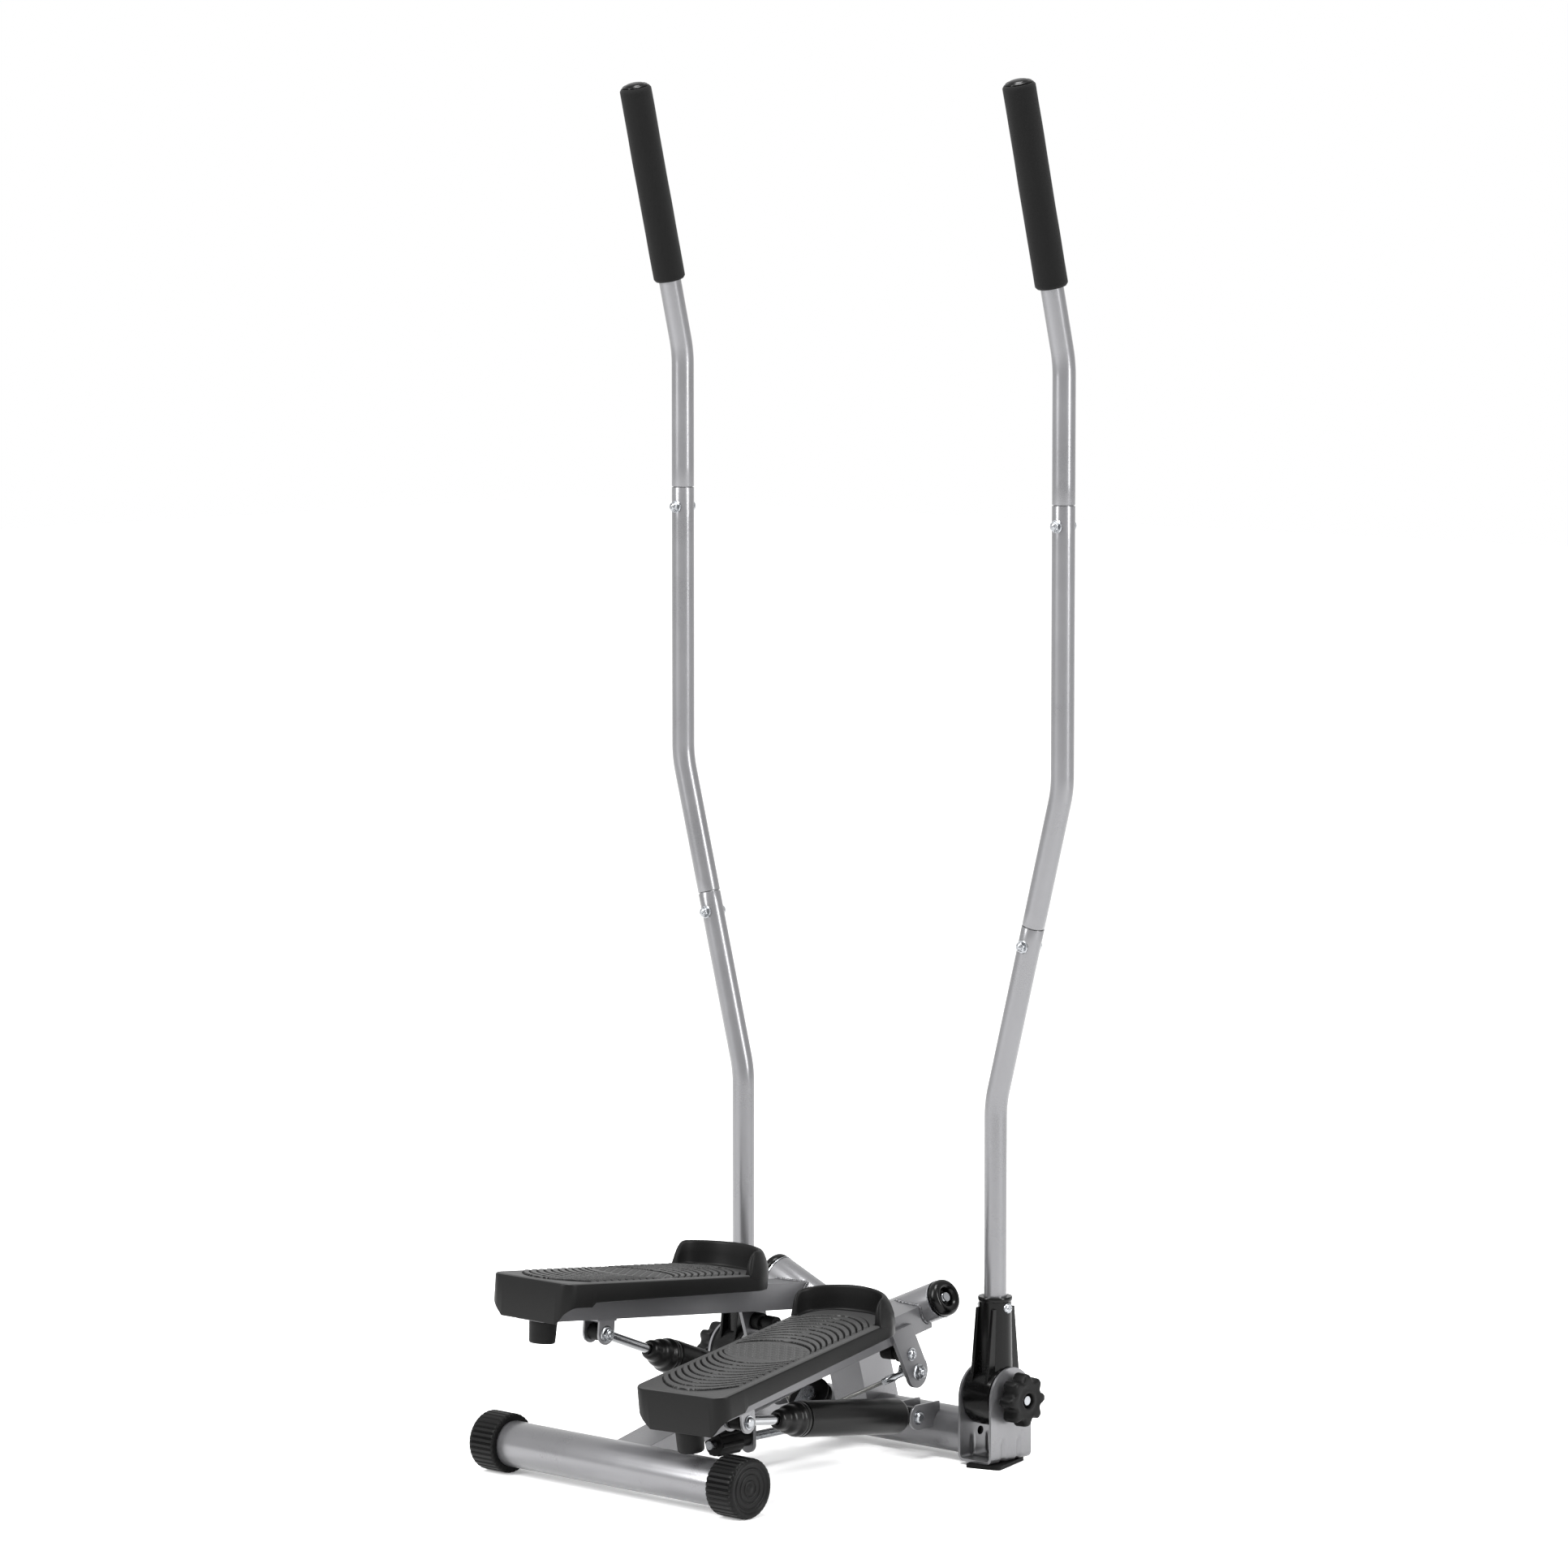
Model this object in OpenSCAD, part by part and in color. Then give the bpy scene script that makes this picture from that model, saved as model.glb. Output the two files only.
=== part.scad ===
// Step exerciser with two swinging hand levers.
// X is the user's right, Y is forward (towards the levers), Z is up, floor at Z = 0.

/* [Base] */
// Outside diameter of the front and rear cross tubes
cross_d = 50.8; // [48:0.1:51]
// Length of the rear cross tube over its bare ends
rear_len = 380; // [370:1:382]
// Outside diameter of the ribbed end caps of the rear tube
cap_d = 66; // [60:0.5:66]
// Length of each ribbed end cap
cap_len = 38; // [34:1:40]
// Width of the main beam and of the centre post
beam_w = 50; // [44:1:50]
// Height of the main beam section
beam_h = 28; // [24:1:30]

/* [Pedals] */
// Half of the pedal travel seen from the level pose, in degrees
half_travel = 6.87; // [6.5:0.01:6.87]
// Cant of the pedal axes from the horizontal, in degrees
axle_cant = 22.98; // [22.98:0.01:23]
// Outside diameter of the pivot sleeves
sleeve_d = 42; // [40:0.5:42]
// Length of a pivot sleeve
sleeve_len = 100; // [90:1:101]
// Width of a footplate
plate_w = 122; // [112:1:124]
// Length of a footplate from heel to toe
plate_len = 339; // [330:1:342]
// Height of the toe cup above the tread
toe_h = 28; // [22:1:34]

/* [Cylinders] */
// Outside diameter of the hydraulic barrels
barrel_d = 40; // [36:1:40]
// Diameter of the chromed rods
rod_d = 11; // [9:0.5:12]

/* [Hand levers] */
// Outside diameter of the lever tubes
tube_d = 25.4; // [24:0.1:25.4]
// Wall of the lever tubes
tube_t = 1.5; // [1.2:0.1:2]
// Centreline radius of the tube bends
bend_r = 120; // [90:5:130]
// Outside diameter of the foam grips
foam_d = 36.5; // [34:0.5:38]
// Length of the foam grips
foam_len = 224; // [200:1:230]
// Outside diameter of the star knobs over the lobes
knob_d = 60; // [52:1:62]

/* [Hidden] */
$fn = 48;

silver = [0.62, 0.63, 0.64];
grey = [0.55, 0.55, 0.54];
black = [0.12, 0.12, 0.12];
charcoal = [0.28, 0.28, 0.28];
steel = [0.78, 0.78, 0.78];

y0 = 15.89;                     // puts the middle of the machine on Y = 0
e = 0.05;                       // running gap of a pin or tube fit
rear_y = -210;  rear_z = cap_d / 2;
front_y = 194;  front_z = 30;
cr = cross_d / 2;
piv = [190.5, 194, 75.2];       // hand lever pivot
C = [121.2, 180.2, 176];        // outer end of a pivot sleeve, on its axis
u = [cos(axle_cant), 0, sin(axle_cant)];
O = [103.35, -109.15, 185.5];   // middle of a tread, at mid travel
ped_yaw = 3;  ped_pitch = 0.8;
E = [-4.1, -40.5, -63.8];       // rod bolt, in pedal axes
K = [20, 248, -87];             // rope bolt, in pedal axes
S = [20, 238, -64];             // stop roller screw, in pedal axes
F = [105, 145, 47.8];           // front pin of a hydraulic cylinder
cyl_turn = 7.08;                // cylinder swing from mid travel to rest
cyl_pitch = 14.0; cyl_yaw = -0.72;
cyl_mid = 302.9; cyl_half = 13.9;
P = [0, 100, 60];               // pulley middle
pul_tilt = 46.2;

module place() { translate([0, y0, 0]) children(); }
module flip(s) { if (s < 0) mirror([1, 0, 0]) children(); else children(); }
// pedal axes: x outward, y forward, z up from the tread, posed at rest
module ped(s) place() flip(s) translate(C) rotate(a = s * half_travel, v = u) translate(-C)
  translate(O) rotate([0, 0, ped_yaw]) rotate([ped_pitch, 0, 0]) children();
// axle axes: z outward along the pedal axis
module axle(s) place() flip(s) translate(C) rotate([0, 90 - axle_cant, 0]) children();
// cylinder axes: z from the front pin to the rod eye
module cyl(s) place() flip(s) translate(F) rotate(a = s * cyl_turn, v = u)
  rotate([0, 0, cyl_yaw]) rotate([90 - cyl_pitch, 0, 0]) children();
// pulley axes: x across, y up the rope plane, z along the pulley pin
module pul() place() translate(P) rotate([pul_tilt, 0, 0]) children();
module lever(s) place() flip(s) translate(piv) children();

module xcyl(r, x0, x1, r2 = -1) translate([x0, 0, 0]) rotate([0, 90, 0])
  cylinder(h = x1 - x0, r1 = r, r2 = r2 < 0 ? r : r2);
module ycyl(r, a, b) translate([0, b, 0]) rotate([90, 0, 0]) cylinder(h = b - a, r = r);
module hexa(af, h) cylinder(h = h, r = af / 2 / cos(30), $fn = 6);
module rsq(x0, ya, x1, yb, r) {
  translate([x0 + r, ya]) square([x1 - x0 - 2 * r, yb - ya]);
  translate([x0, ya + r]) square([x1 - x0, yb - ya - 2 * r]);
  for (x = [x0 + r, x1 - r], y = [ya + r, yb - r]) translate([x, y]) circle(r);
}

// ---------------- base ----------------
module rear_axis() place() translate([0, rear_y, rear_z]) children();
module front_axis() place() translate([0, front_y, front_z]) children();

module rear_tube() color(silver) rear_axis() difference() {
  xcyl(cr, -rear_len / 2, rear_len / 2);
  xcyl(cr - 2, -rear_len / 2 - 1, rear_len / 2 + 1);
}

module rear_caps() color(black) for (s = [-1, 1]) rear_axis() flip(s) translate([198.5 - cap_len, 0, 0])
  difference() {
    union() {
      xcyl(cap_d / 2 - 2, 0, 2, cap_d / 2);
      xcyl(cap_d / 2, 2, cap_len - 3);
      xcyl(cap_d / 2, cap_len - 3, cap_len, cap_d / 2 - 3);
    }
    xcyl(cr + e, -1, rear_len / 2 - 198.5 + cap_len + 0.1);
  }

module beam_axis() place() translate([0, -205, 33.2]) rotate([13.2, 0, 0]) children();
module post_axis() place() translate([0, 199, 30]) rotate([16.5, 0, 0]) children();

module main_beam() color(silver) difference() {
  beam_axis() difference() {
    translate([-beam_w / 2, 0, -beam_h / 2]) cube([beam_w, 372, beam_h]);
    translate([-beam_w / 2 + 2, -1, -beam_h / 2 + 2]) cube([beam_w - 4, 374, beam_h - 4]);
  }
  rear_axis() xcyl(cr, -60, 60);
  post_axis() translate([-40, -25, -30]) cube([80, 80, 160]);
}

module center_post() color(silver) difference() {
  post_axis() difference() {
    translate([-beam_w / 2, -25, 0]) cube([beam_w, 50, 108]);
    translate([-beam_w / 2 + 2.5, -22.5, -1]) cube([beam_w - 5, 45, 106.5]);
  }
  front_axis() xcyl(cr, -60, 60);
  for (s = [-1, 1]) axle(s) translate([0, 0, -140]) cylinder(h = 140, r = 10 + e);
}

module front_tube() color(silver) front_axis() difference() {
  xcyl(cr, -166.4, 166.4);
  xcyl(cr - 2, -168, 168);
}

module handle_bracket(s) color(silver) lever(s) difference() {
  union() {
    for (x = [-24, 21]) translate([x, 0, 0]) {
      xcyl(34, 0, 3);
      translate([0, -34, 4 - piv[2]]) cube([3, 68, piv[2] - 4]);
    }
    translate([-24, -34, 4 - piv[2]]) cube([48, 68, 3]);
  }
  xcyl(5 + e, -30, 30);
  translate([0, 0, -42]) xcyl(5, -30, -10);
}
module handle_bracket_left() handle_bracket(-1);
module handle_bracket_right() handle_bracket(1);

module foot_pads() color(black) for (s = [-1, 1]) place() flip(s)
  translate([197, 187, 0]) rotate([0, 0, 16]) linear_extrude(4) rsq(-21, -34, 21, 34, 5);

module cylinder_lugs() color(silver) for (s = [-1, 1]) difference() {
  place() flip(s) translate(F) {
    for (x = [-16, 13]) difference() {
      union() {
        xcyl(14, x, x + 3);
        translate([x, 0, -14]) cube([3, 36, 28]);
      }
      xcyl(4 + e, x - 1, x + 4);
    }
  }
  front_axis() xcyl(cr, -160, 160);
}

module pedal_axles() color(steel) for (s = [-1, 1]) axle(s) {
  translate([0, 0, -131.6]) cylinder(h = 133.4, r = 10);
  translate([0, 0, 1.8]) cylinder(h = 9.2, r = 5);
}

module axle_washers() color(steel) for (s = [-1, 1]) axle(s) translate([0, 0, 0.4])
  difference() { cylinder(h = 1.2, r = 21.3); translate([0, 0, -1]) cylinder(h = 4, r = 10 + e); }

module axle_caps() for (s = [-1, 1]) axle(s) {
  color(black) difference() {
    rotate_extrude() polygon([[0, 1.8], [19.5, 1.8], [20.3, 3.5], [20.4, 5.5], [19.6, 8.5], [17.6, 11.2],
      [14.6, 13.2], [11.4, 14], [8.6, 13], [7.6, 11], [7.6, 7], [0, 7]]);
    translate([0, 0, 1]) cylinder(h = 20, r = 5 + e);
  }
}

module cylinder_bolts() color(steel) for (s = [-1, 1]) place() flip(s) translate(F) {
  xcyl(4, -21, 16);
  xcyl(7.6, 16.05, 20.5, 5.5);
  translate([-22.5, 0, 0]) rotate([0, 90, 0]) difference() { hexa(13, 6.4); translate([0, 0, -1]) cylinder(h = 9, r = 4 + e); }
}

module handle_pivot_bolts() color(steel) for (s = [-1, 1]) lever(s) {
  xcyl(5, -24, 47.5);
  translate([-30, 0, 0]) rotate([0, 90, 0]) hexa(16, 6);
}

module adjuster_lug() color(grey) difference() {
  place() difference() {
    union() {
      translate([-10, -5, 24]) cube([20, 5, 60]);
      translate([0, 0, 24]) ycyl(10, -5, 0);
    }
    translate([0, 0, 31]) ycyl(5.3, -20, 20);
  }
  beam_axis() translate([-40, -20, -beam_h / 2]) cube([80, 420, 80]);
}

// fork that carries the pulley, with its draw screw
module pulley_yoke() color(steel) {
  difference() {
    pul() difference() {
      union() {
        for (z = [-10.5, 7.5]) translate([0, 0, z]) {
          translate([-10, -41, 0]) cube([20, 41, 3]);
          cylinder(h = 3, r = 10);
        }
        translate([-10, -41, -10.5]) cube([20, 4, 21]);
        cylinder(h = 26, r = 4, center = true);
        for (z = [-13.5, 10.5]) translate([0, 0, z]) cylinder(h = 3, r = 6.5);
      }
    }
  }
  place() translate([0, 0, 31]) ycyl(4.9, -66, 70.5);
}

// rope: two straight runs and the turn round the back of the pulley
rope_r = 2.4;
wrap = 48.7;                    // where the rope leaves the groove, below the pulley's x axis
wr = 23.6;
module run(p, q, r) let (d = q - p, l = norm(d)) translate(p)
  rotate([0, acos(d[2] / l), atan2(d[1], d[0])]) cylinder(h = l, r = r);
// pedal point to base point, at rest
function rotv(p, a) = let (c = cos(a), w = sin(a)) p * c + cross(u, p) * w + u * (u * p) * (1 - c);
function mid(q) = let (a = [q[0], q[1] * cos(ped_pitch) - q[2] * sin(ped_pitch), q[1] * sin(ped_pitch) + q[2] * cos(ped_pitch)])
  O + [a[0] * cos(ped_yaw) - a[1] * sin(ped_yaw), a[0] * sin(ped_yaw) + a[1] * cos(ped_yaw), a[2]];
function base(q, s) = let (p = C + rotv(mid(q) - C, s * half_travel)) [s * p[0], p[1], p[2]];
function off(s) = let (a = s > 0 ? -wrap : wrap - 180)
  P + [wr * cos(a), wr * sin(a) * cos(pul_tilt), wr * sin(a) * sin(pul_tilt)];
module wire_rope() color(steel) {
  for (s = [-1, 1]) let (k = base([12, K[1], K[2]], s), q = off(s), d = (q - k) / norm(q - k))
    place() run(k + d * 33.5, q - d * 0.6, rope_r);
  pul() rotate([0, 0, wrap - 180]) rotate_extrude(angle = 180 - 2 * wrap, $fn = 64) translate([wr, 0]) circle(rope_r);
}

module pulley() color(black) pul() difference() {
  rotate_extrude() polygon([[4 + e, -6], [10, -6], [10, -5], [25, -5], [25, -3.6], [21, -2.2], [21, 2.2],
    [25, 3.6], [25, 5], [10, 5], [10, 6], [4 + e, 6]]);
}

module height_knob() color(black) place() translate([0, 0, 31]) difference() {
  union() {
    ycyl(13, -58, -22);
    ycyl(9, -22, -6);
    for (i = [0:5]) rotate([0, i * 60, 0]) translate([11.5, 0, 0]) ycyl(3, -57, -24);
  }
  ycyl(4.9 + e, -80, 0);
}

// ---------------- pedals ----------------
module sleeve_cut(s) axle(s) translate([0, 0, -160]) cylinder(h = 180, r = sleeve_d / 2);

module pedal_arm(s) color(grey) difference() {
  ped(s) difference() {
    translate([-20, -143, -47]) cube([40, 430, 30]);
    translate([-18, -145, -45]) cube([36, 434, 26]);
  }
  sleeve_cut(s);
}
module pedal_arm_left() pedal_arm(-1);
module pedal_arm_right() pedal_arm(1);

module pivot_sleeve(s) color(silver) axle(s) difference() {
  translate([0, 0, -sleeve_len]) cylinder(h = sleeve_len, r = sleeve_d / 2);
  translate([0, 0, -sleeve_len - 1]) cylinder(h = sleeve_len + 2, r = sleeve_d / 2 - 2.5);
}
module pivot_sleeve_left() pivot_sleeve(-1);
module pivot_sleeve_right() pivot_sleeve(1);

module sleeve_bushes(s) color(black) axle(s) for (z = [-22, -sleeve_len + 2]) translate([0, 0, z])
  difference() { cylinder(h = 20, r = sleeve_d / 2 - 2.52); translate([0, 0, -1]) cylinder(h = 22, r = 10 + e); }
module sleeve_bushes_left() sleeve_bushes(-1);
module sleeve_bushes_right() sleeve_bushes(1);

hw = plate_w / 2;
y_heel = -148;
y_toe = y_heel + plate_len;
module outline(i = 0) {
  rsq(-hw + i, y_heel + i, hw - i, 130, 14 - i);
  rsq(-hw + i, 40, hw - i, y_toe - i, 40 - i);
}
module footplate(s) color(charcoal) ped(s) {
  difference() {
    translate([0, 0, -20]) linear_extrude(20) outline();
    difference() {
      translate([0, 0, -21]) linear_extrude(16) outline(3.2);
      for (y = [-90, 0, 90, 150]) translate([-hw, y, -16.9]) cube([plate_w, 4, 12.9]);
    }
    // seat of the arm under the toe
    translate([-20.3, 180, -21]) cube([40.6, 20, 4.1]);
  }
  // heel apron
  difference() {
    translate([0, 0, -46]) linear_extrude(26) outline();
    translate([0, 0, -47]) linear_extrude(28) outline(3.2);
    translate([-80, 0, 0]) rotate([90, 0, 90]) linear_extrude(160)
      polygon([[-134, -50], [-134, -46], [-104, -20], [-104, -10], [240, -10], [240, -50]]);
    for (m = [0, 1]) mirror([m, 0, 0]) translate([0, 0, 0]) rotate([90, 0, 0]) linear_extrude(400, center = true)
      polygon([[hw - 20, -50], [hw - 20, -46], [hw, -27], [hw + 5, -27], [hw + 5, -50]]);
  }
  // toe cup
  difference() {
    linear_extrude(toe_h) outline();
    translate([0, 0, -1]) linear_extrude(toe_h + 2) difference() {
      translate([-100, -200]) square([200, 377]);
      translate([-hw - 10, 142]) square([17, 60]);
      translate([hw - 7, 142]) square([17, 60]);
      difference() { translate([-hw, 142]) square([plate_w, 40]); rsq(-hw + 7, 100, hw - 7, 177, 30); }
    }
  }
}
module footplate_left() footplate(-1);
module footplate_right() footplate(1);

module heel_bumper(s) color(black) ped(s) translate([-4, -127, -71.5]) {
  cylinder(h = 20, r1 = 14.5, r2 = 15.5);
  translate([0, 0, 20]) cylinder(h = 4.5, r = 15.5);
}
module heel_bumper_left() heel_bumper(-1);
module heel_bumper_right() heel_bumper(1);

module rod_bracket(s) color(grey) ped(s) translate([E[0], E[1], 0]) difference() {
  union() {
    for (x = [-13, 10]) {
      translate([x, -12, E[2]]) cube([3, 24, -49.5 - E[2]]);
      translate([0, 0, E[2]]) xcyl(12, x, x + 3);
    }
    translate([-13, -15, -49.5]) cube([26, 30, 2.5]);
  }
  translate([0, 0, E[2]]) xcyl(4 + e, -20, 20);
}
module rod_bracket_left() rod_bracket(-1);
module rod_bracket_right() rod_bracket(1);

module link_plate(s) color(grey) ped(s) difference() {
  union() {
    translate([0, K[1], K[2]]) xcyl(18, 20, 25);
    difference() {
      translate([20, K[1], K[2]]) rotate([23, 0, 0]) translate([0, -17.5, 0]) cube([5, 35, 75]);
      translate([15, 150, -30]) cube([15, 150, 80]);
    }
  }
  translate([0, K[1], K[2]]) xcyl(4 + e, 10, 30);
  translate([0, S[1], S[2]]) xcyl(3 + e, 10, 30);
}
module link_plate_left() link_plate(-1);
module link_plate_right() link_plate(1);

// rod bolt, rope bolt with the rope's eye end, stop roller screw
module pedal_bolts(s) color(steel) {
  ped(s) {
    translate([0, E[1], E[2]]) translate([E[0], 0, 0]) {
      xcyl(4, -19, 13);
      xcyl(7.6, 13.05, 17.5, 5.5);
      translate([-19.5, 0, 0]) rotate([0, 90, 0]) difference() { hexa(13, 6.4); translate([0, 0, -1]) cylinder(h = 9, r = 4 + e); }
    }
    translate([0, K[1], K[2]]) {
      xcyl(4, 5, 34);
      translate([2, 0, 0]) rotate([0, 90, 0]) hexa(13, 5);
      translate([25.05, 0, 0]) rotate([0, 90, 0]) difference() { hexa(13, 7); translate([0, 0, -1]) cylinder(h = 9, r = 4 + e); }
      difference() { xcyl(8, 8.5, 15.5); xcyl(4 + e, 5, 20); }
    }
    translate([0, S[1], S[2]]) { xcyl(3, -14, 25); xcyl(6.5, 25.05, 28, 4.5); }
  }
  let (k = base([12, K[1], K[2]], s), q = off(s), d = (q - k) / norm(q - k))
    place() difference() {
      run(k + d * 6.5, k + d * 33, 4.2);
      run(k + d * 28, k + d * 35, 2.6);
      run(base([0, K[1], K[2]], s), base([30, K[1], K[2]], s), 8.02);
    }
}
module pedal_bolts_left() pedal_bolts(-1);
module pedal_bolts_right() pedal_bolts(1);

module stop_roller(s) color(black) ped(s) translate([0, S[1], S[2]]) difference() {
  union() { xcyl(10, 8, 19.95); xcyl(6, 3, 8); xcyl(8.5, -13, 3); }
  xcyl(3 + e, -20, 25);
}
module stop_roller_left() stop_roller(-1);
module stop_roller_right() stop_roller(1);

// ---------------- hydraulic cylinders ----------------
br = barrel_d / 2;
module cylinder_barrel(s) color(black) cyl(s) difference() {
  union() {
    rotate_extrude() polygon([[0, 16.5], [br - 7, 16.5], [br - 3.4, 17.6], [br - 1, 20], [br, 24], [br, 186], [0, 186]]);
    xcyl(11, -12, 12);
    translate([-11, -8, 0]) cube([22, 16, 20]);
  }
  xcyl(5, -20, 20);
  translate([0, 0, 26]) cylinder(h = 170, r = br - 3);
}
module cylinder_barrel_left() cylinder_barrel(-1);
module cylinder_barrel_right() cylinder_barrel(1);

module cylinder_neck(s) color(black) cyl(s) difference() {
  rotate_extrude() polygon([[0, 172], [br - 3, 172], [br - 3, 186.05], [br - 1, 186.05], [br - 1, 196], [br - 3.5, 199],
    [br - 5.5, 202], [br - 5.5, 211], [br - 8, 213.5], [10.5, 217], [10, 227], [0, 227]]);
  translate([0, 0, 170]) cylinder(h = 60, r = rod_d / 2 + e);
}
module cylinder_neck_left() cylinder_neck(-1);
module cylinder_neck_right() cylinder_neck(1);

module piston_rod(s) cyl(s) translate([0, 0, cyl_mid - s * cyl_half]) difference() {
  union() {
    color(steel) translate([0, 0, -235]) cylinder(h = 228, r = rod_d / 2);
    color(steel) translate([0, 0, -235]) cylinder(h = 12, r = br - 3.4);
    color(black) rotate([0, 3.7, 0]) xcyl(9.5, -8, 8);
    color(black) translate([0, 0, -14]) cylinder(h = 8, r = 7);
  }
  rotate([0, 3.7, 0]) xcyl(6.2, -20, 20);
}
module piston_rod_left() piston_rod(-1);
module piston_rod_right() piston_rod(1);

// ---------------- hand levers ----------------
// z positions are above the floor, x positions are from the lever pivot
flare = 14.9; lean = 14.5;
z1 = 402; z2 = 755.5; z3 = 1220; z_foam = 1303;
dx2 = (z2 - z1) * tan(flare);
t1 = bend_r * tan(flare / 2);
t3 = bend_r * tan(lean / 2);
zj1 = 602; zj2 = 1065;           // the two tube joints
tr = tube_d / 2;
module at_z(z) translate([0, 0, z - piv[2]]) children();
module seg_b() at_z(z1) rotate([0, flare, 0]) children();             // flared outward
module seg_c() translate([dx2, 0, 0]) at_z(z2) children();            // straight
module seg_d() translate([dx2, 0, 0]) at_z(z3) rotate([lean, 0, 0]) children();
lb = (z2 - z1) / cos(flare);
sj1 = (zj1 - z1) / cos(flare);
module pipe(a, b) translate([0, 0, a]) difference() {
  cylinder(h = b - a, r = tr);
  translate([0, 0, -1]) cylinder(h = b - a + 2, r = tr - tube_t);
}
module pipe_bend(a) rotate_extrude(angle = a, $fn = 64) translate([bend_r, 0])
  difference() { circle(tr); circle(tr - tube_t); }
// straight whose lower end is swaged to slip into the piece below
module necked(a, b) rotate_extrude() polygon([[tr - 2 * tube_t, a - 44], [tr - tube_t - 0.1, a - 44],
  [tr - tube_t - 0.1, a + 0.6], [tr, a + 0.6], [tr, b], [tr - tube_t, b], [tr - tube_t, a + 3], [tr - 2 * tube_t, a + 3]]);
g = 0.01;                        // hairline between a straight and its bend
module bolt_hole(z) translate([0, 0, z]) ycyl(3.2, -20, 20);

module lower_tube(s) color(silver) lever(s) {
  difference() { at_z(0) pipe(104, z1 - t1 - g); at_z(175) xcyl(3.2, -20, 20); }
  at_z(z1 - t1) translate([bend_r, 0, 0]) rotate([90, 0, 180]) pipe_bend(flare);
  seg_b() difference() { pipe(t1 + g, sj1); bolt_hole(sj1 - 22); }
}
module lower_tube_left() lower_tube(-1);
module lower_tube_right() lower_tube(1);

module middle_tube(s) color(silver) lever(s) {
  seg_b() difference() { necked(sj1, lb - t1 - g); bolt_hole(sj1 - 22); }
  seg_c() translate([-bend_r, 0, t1]) rotate([-90, 0, 0]) pipe_bend(flare);
  seg_c() difference() { pipe(t1 + g, zj2 - z2); bolt_hole(zj2 - z2 - 22); }
}
module middle_tube_left() middle_tube(-1);
module middle_tube_right() middle_tube(1);

top_len = (1519 - z3) / cos(lean);
module upper_tube(s) color(silver) lever(s) {
  seg_c() difference() { necked(zj2 - z2, z3 - z2 - t3 - g); bolt_hole(zj2 - z2 - 22); }
  seg_c() translate([0, -bend_r, z3 - z2 - t3]) rotate([90, 0, 90]) pipe_bend(lean);
  seg_d() pipe(t3 + g, top_len - 3);
}
module upper_tube_left() upper_tube(-1);
module upper_tube_right() upper_tube(1);

module foam_grip(s) color(black) lever(s) seg_d() translate([0, 0, top_len - foam_len]) difference() {
  cylinder(h = foam_len, r = foam_d / 2);
  translate([0, 0, -1]) cylinder(h = foam_len + 2, r = tr + 0.02);
}
module foam_grip_left() foam_grip(-1);
module foam_grip_right() foam_grip(1);

module grip_plug(s) color(black) lever(s) seg_d() translate([0, 0, top_len]) rotate_extrude()
  polygon([[0, -22], [10.6, -22], [11, -20], [11.1, -2.9], [12.6, -2.9], [12.6, 0.1], [13.8, 0.1], [13.6, 1.6], [11.5, 3.2], [7, 4.6], [0, 5]]);
module grip_plug_left() grip_plug(-1);
module grip_plug_right() grip_plug(1);

module lever_bolt() {
  ycyl(3, -19.5, 13);
  translate([0, 19, 0]) rotate([90, 0, 0]) cylinder(h = 6, r1 = 4, r2 = 6.2);
  translate([0, -13, 0]) rotate([90, 0, 0]) difference() {
    union() { cylinder(h = 1.4, r = 6.8); hexa(10, 5.6); }
    translate([0, 0, -1]) cylinder(h = 9, r = 3 + e);
  }
}
module handle_bolts(s) color(steel) lever(s) {
  seg_b() translate([0, 0, sj1 - 22]) lever_bolt();
  seg_c() translate([0, 0, zj2 - z2 - 22]) lever_bolt();
  at_z(175) {
    xcyl(3, -23, 18.6);
    xcyl(6, 18.6, 21.5, 4);
    translate([-23.6, 0, 0]) rotate([0, 90, 0]) difference() { hexa(10, 5); translate([0, 0, -1]) cylinder(h = 7, r = 3 + e); }
  }
}
module handle_bolts_left() handle_bolts(-1);
module handle_bolts_right() handle_bolts(1);

module handle_hub(s) color(black) lever(s) difference() {
  union() {
    xcyl(33.5, -19, 19);
    at_z(98) cylinder(h = 89, r1 = 20, r2 = 17.5);
    for (x = [-13, 9]) translate([x, 0, 0]) rotate([90, 0, 90]) linear_extrude(4)
      polygon([[-32, 10], [32, 10], [18, 105], [-18, 105]]);
    translate([0, 2, 0]) rotate([90, 0, 0]) linear_extrude(4) polygon([[-19, 20], [19, 20], [18, 105], [-18, 105]]);
  }
  xcyl(5 + 2 * e, -30, 30);
  at_z(102) cylinder(h = 90, r = tr + 0.02);
  at_z(175) xcyl(3.2, -30, 30);
}
module handle_hub_left() handle_hub(-1);
module handle_hub_right() handle_hub(1);

module star_knob(s) color(black) lever(s) difference() {
  union() {
    xcyl(19, 25, 31);
    translate([30, 0, 0]) rotate([90, 0, 90]) linear_extrude(19) {
      circle(knob_d / 2 - 7);
      for (i = [0:7]) rotate(i * 45) translate([0, knob_d / 2 - 7]) circle(7);
    }
    xcyl(18, 48, 50);
  }
  xcyl(5 + e, 20, 60);
  xcyl(11, 44, 60);
}
module star_knob_left() star_knob(-1);
module star_knob_right() star_knob(1);

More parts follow.
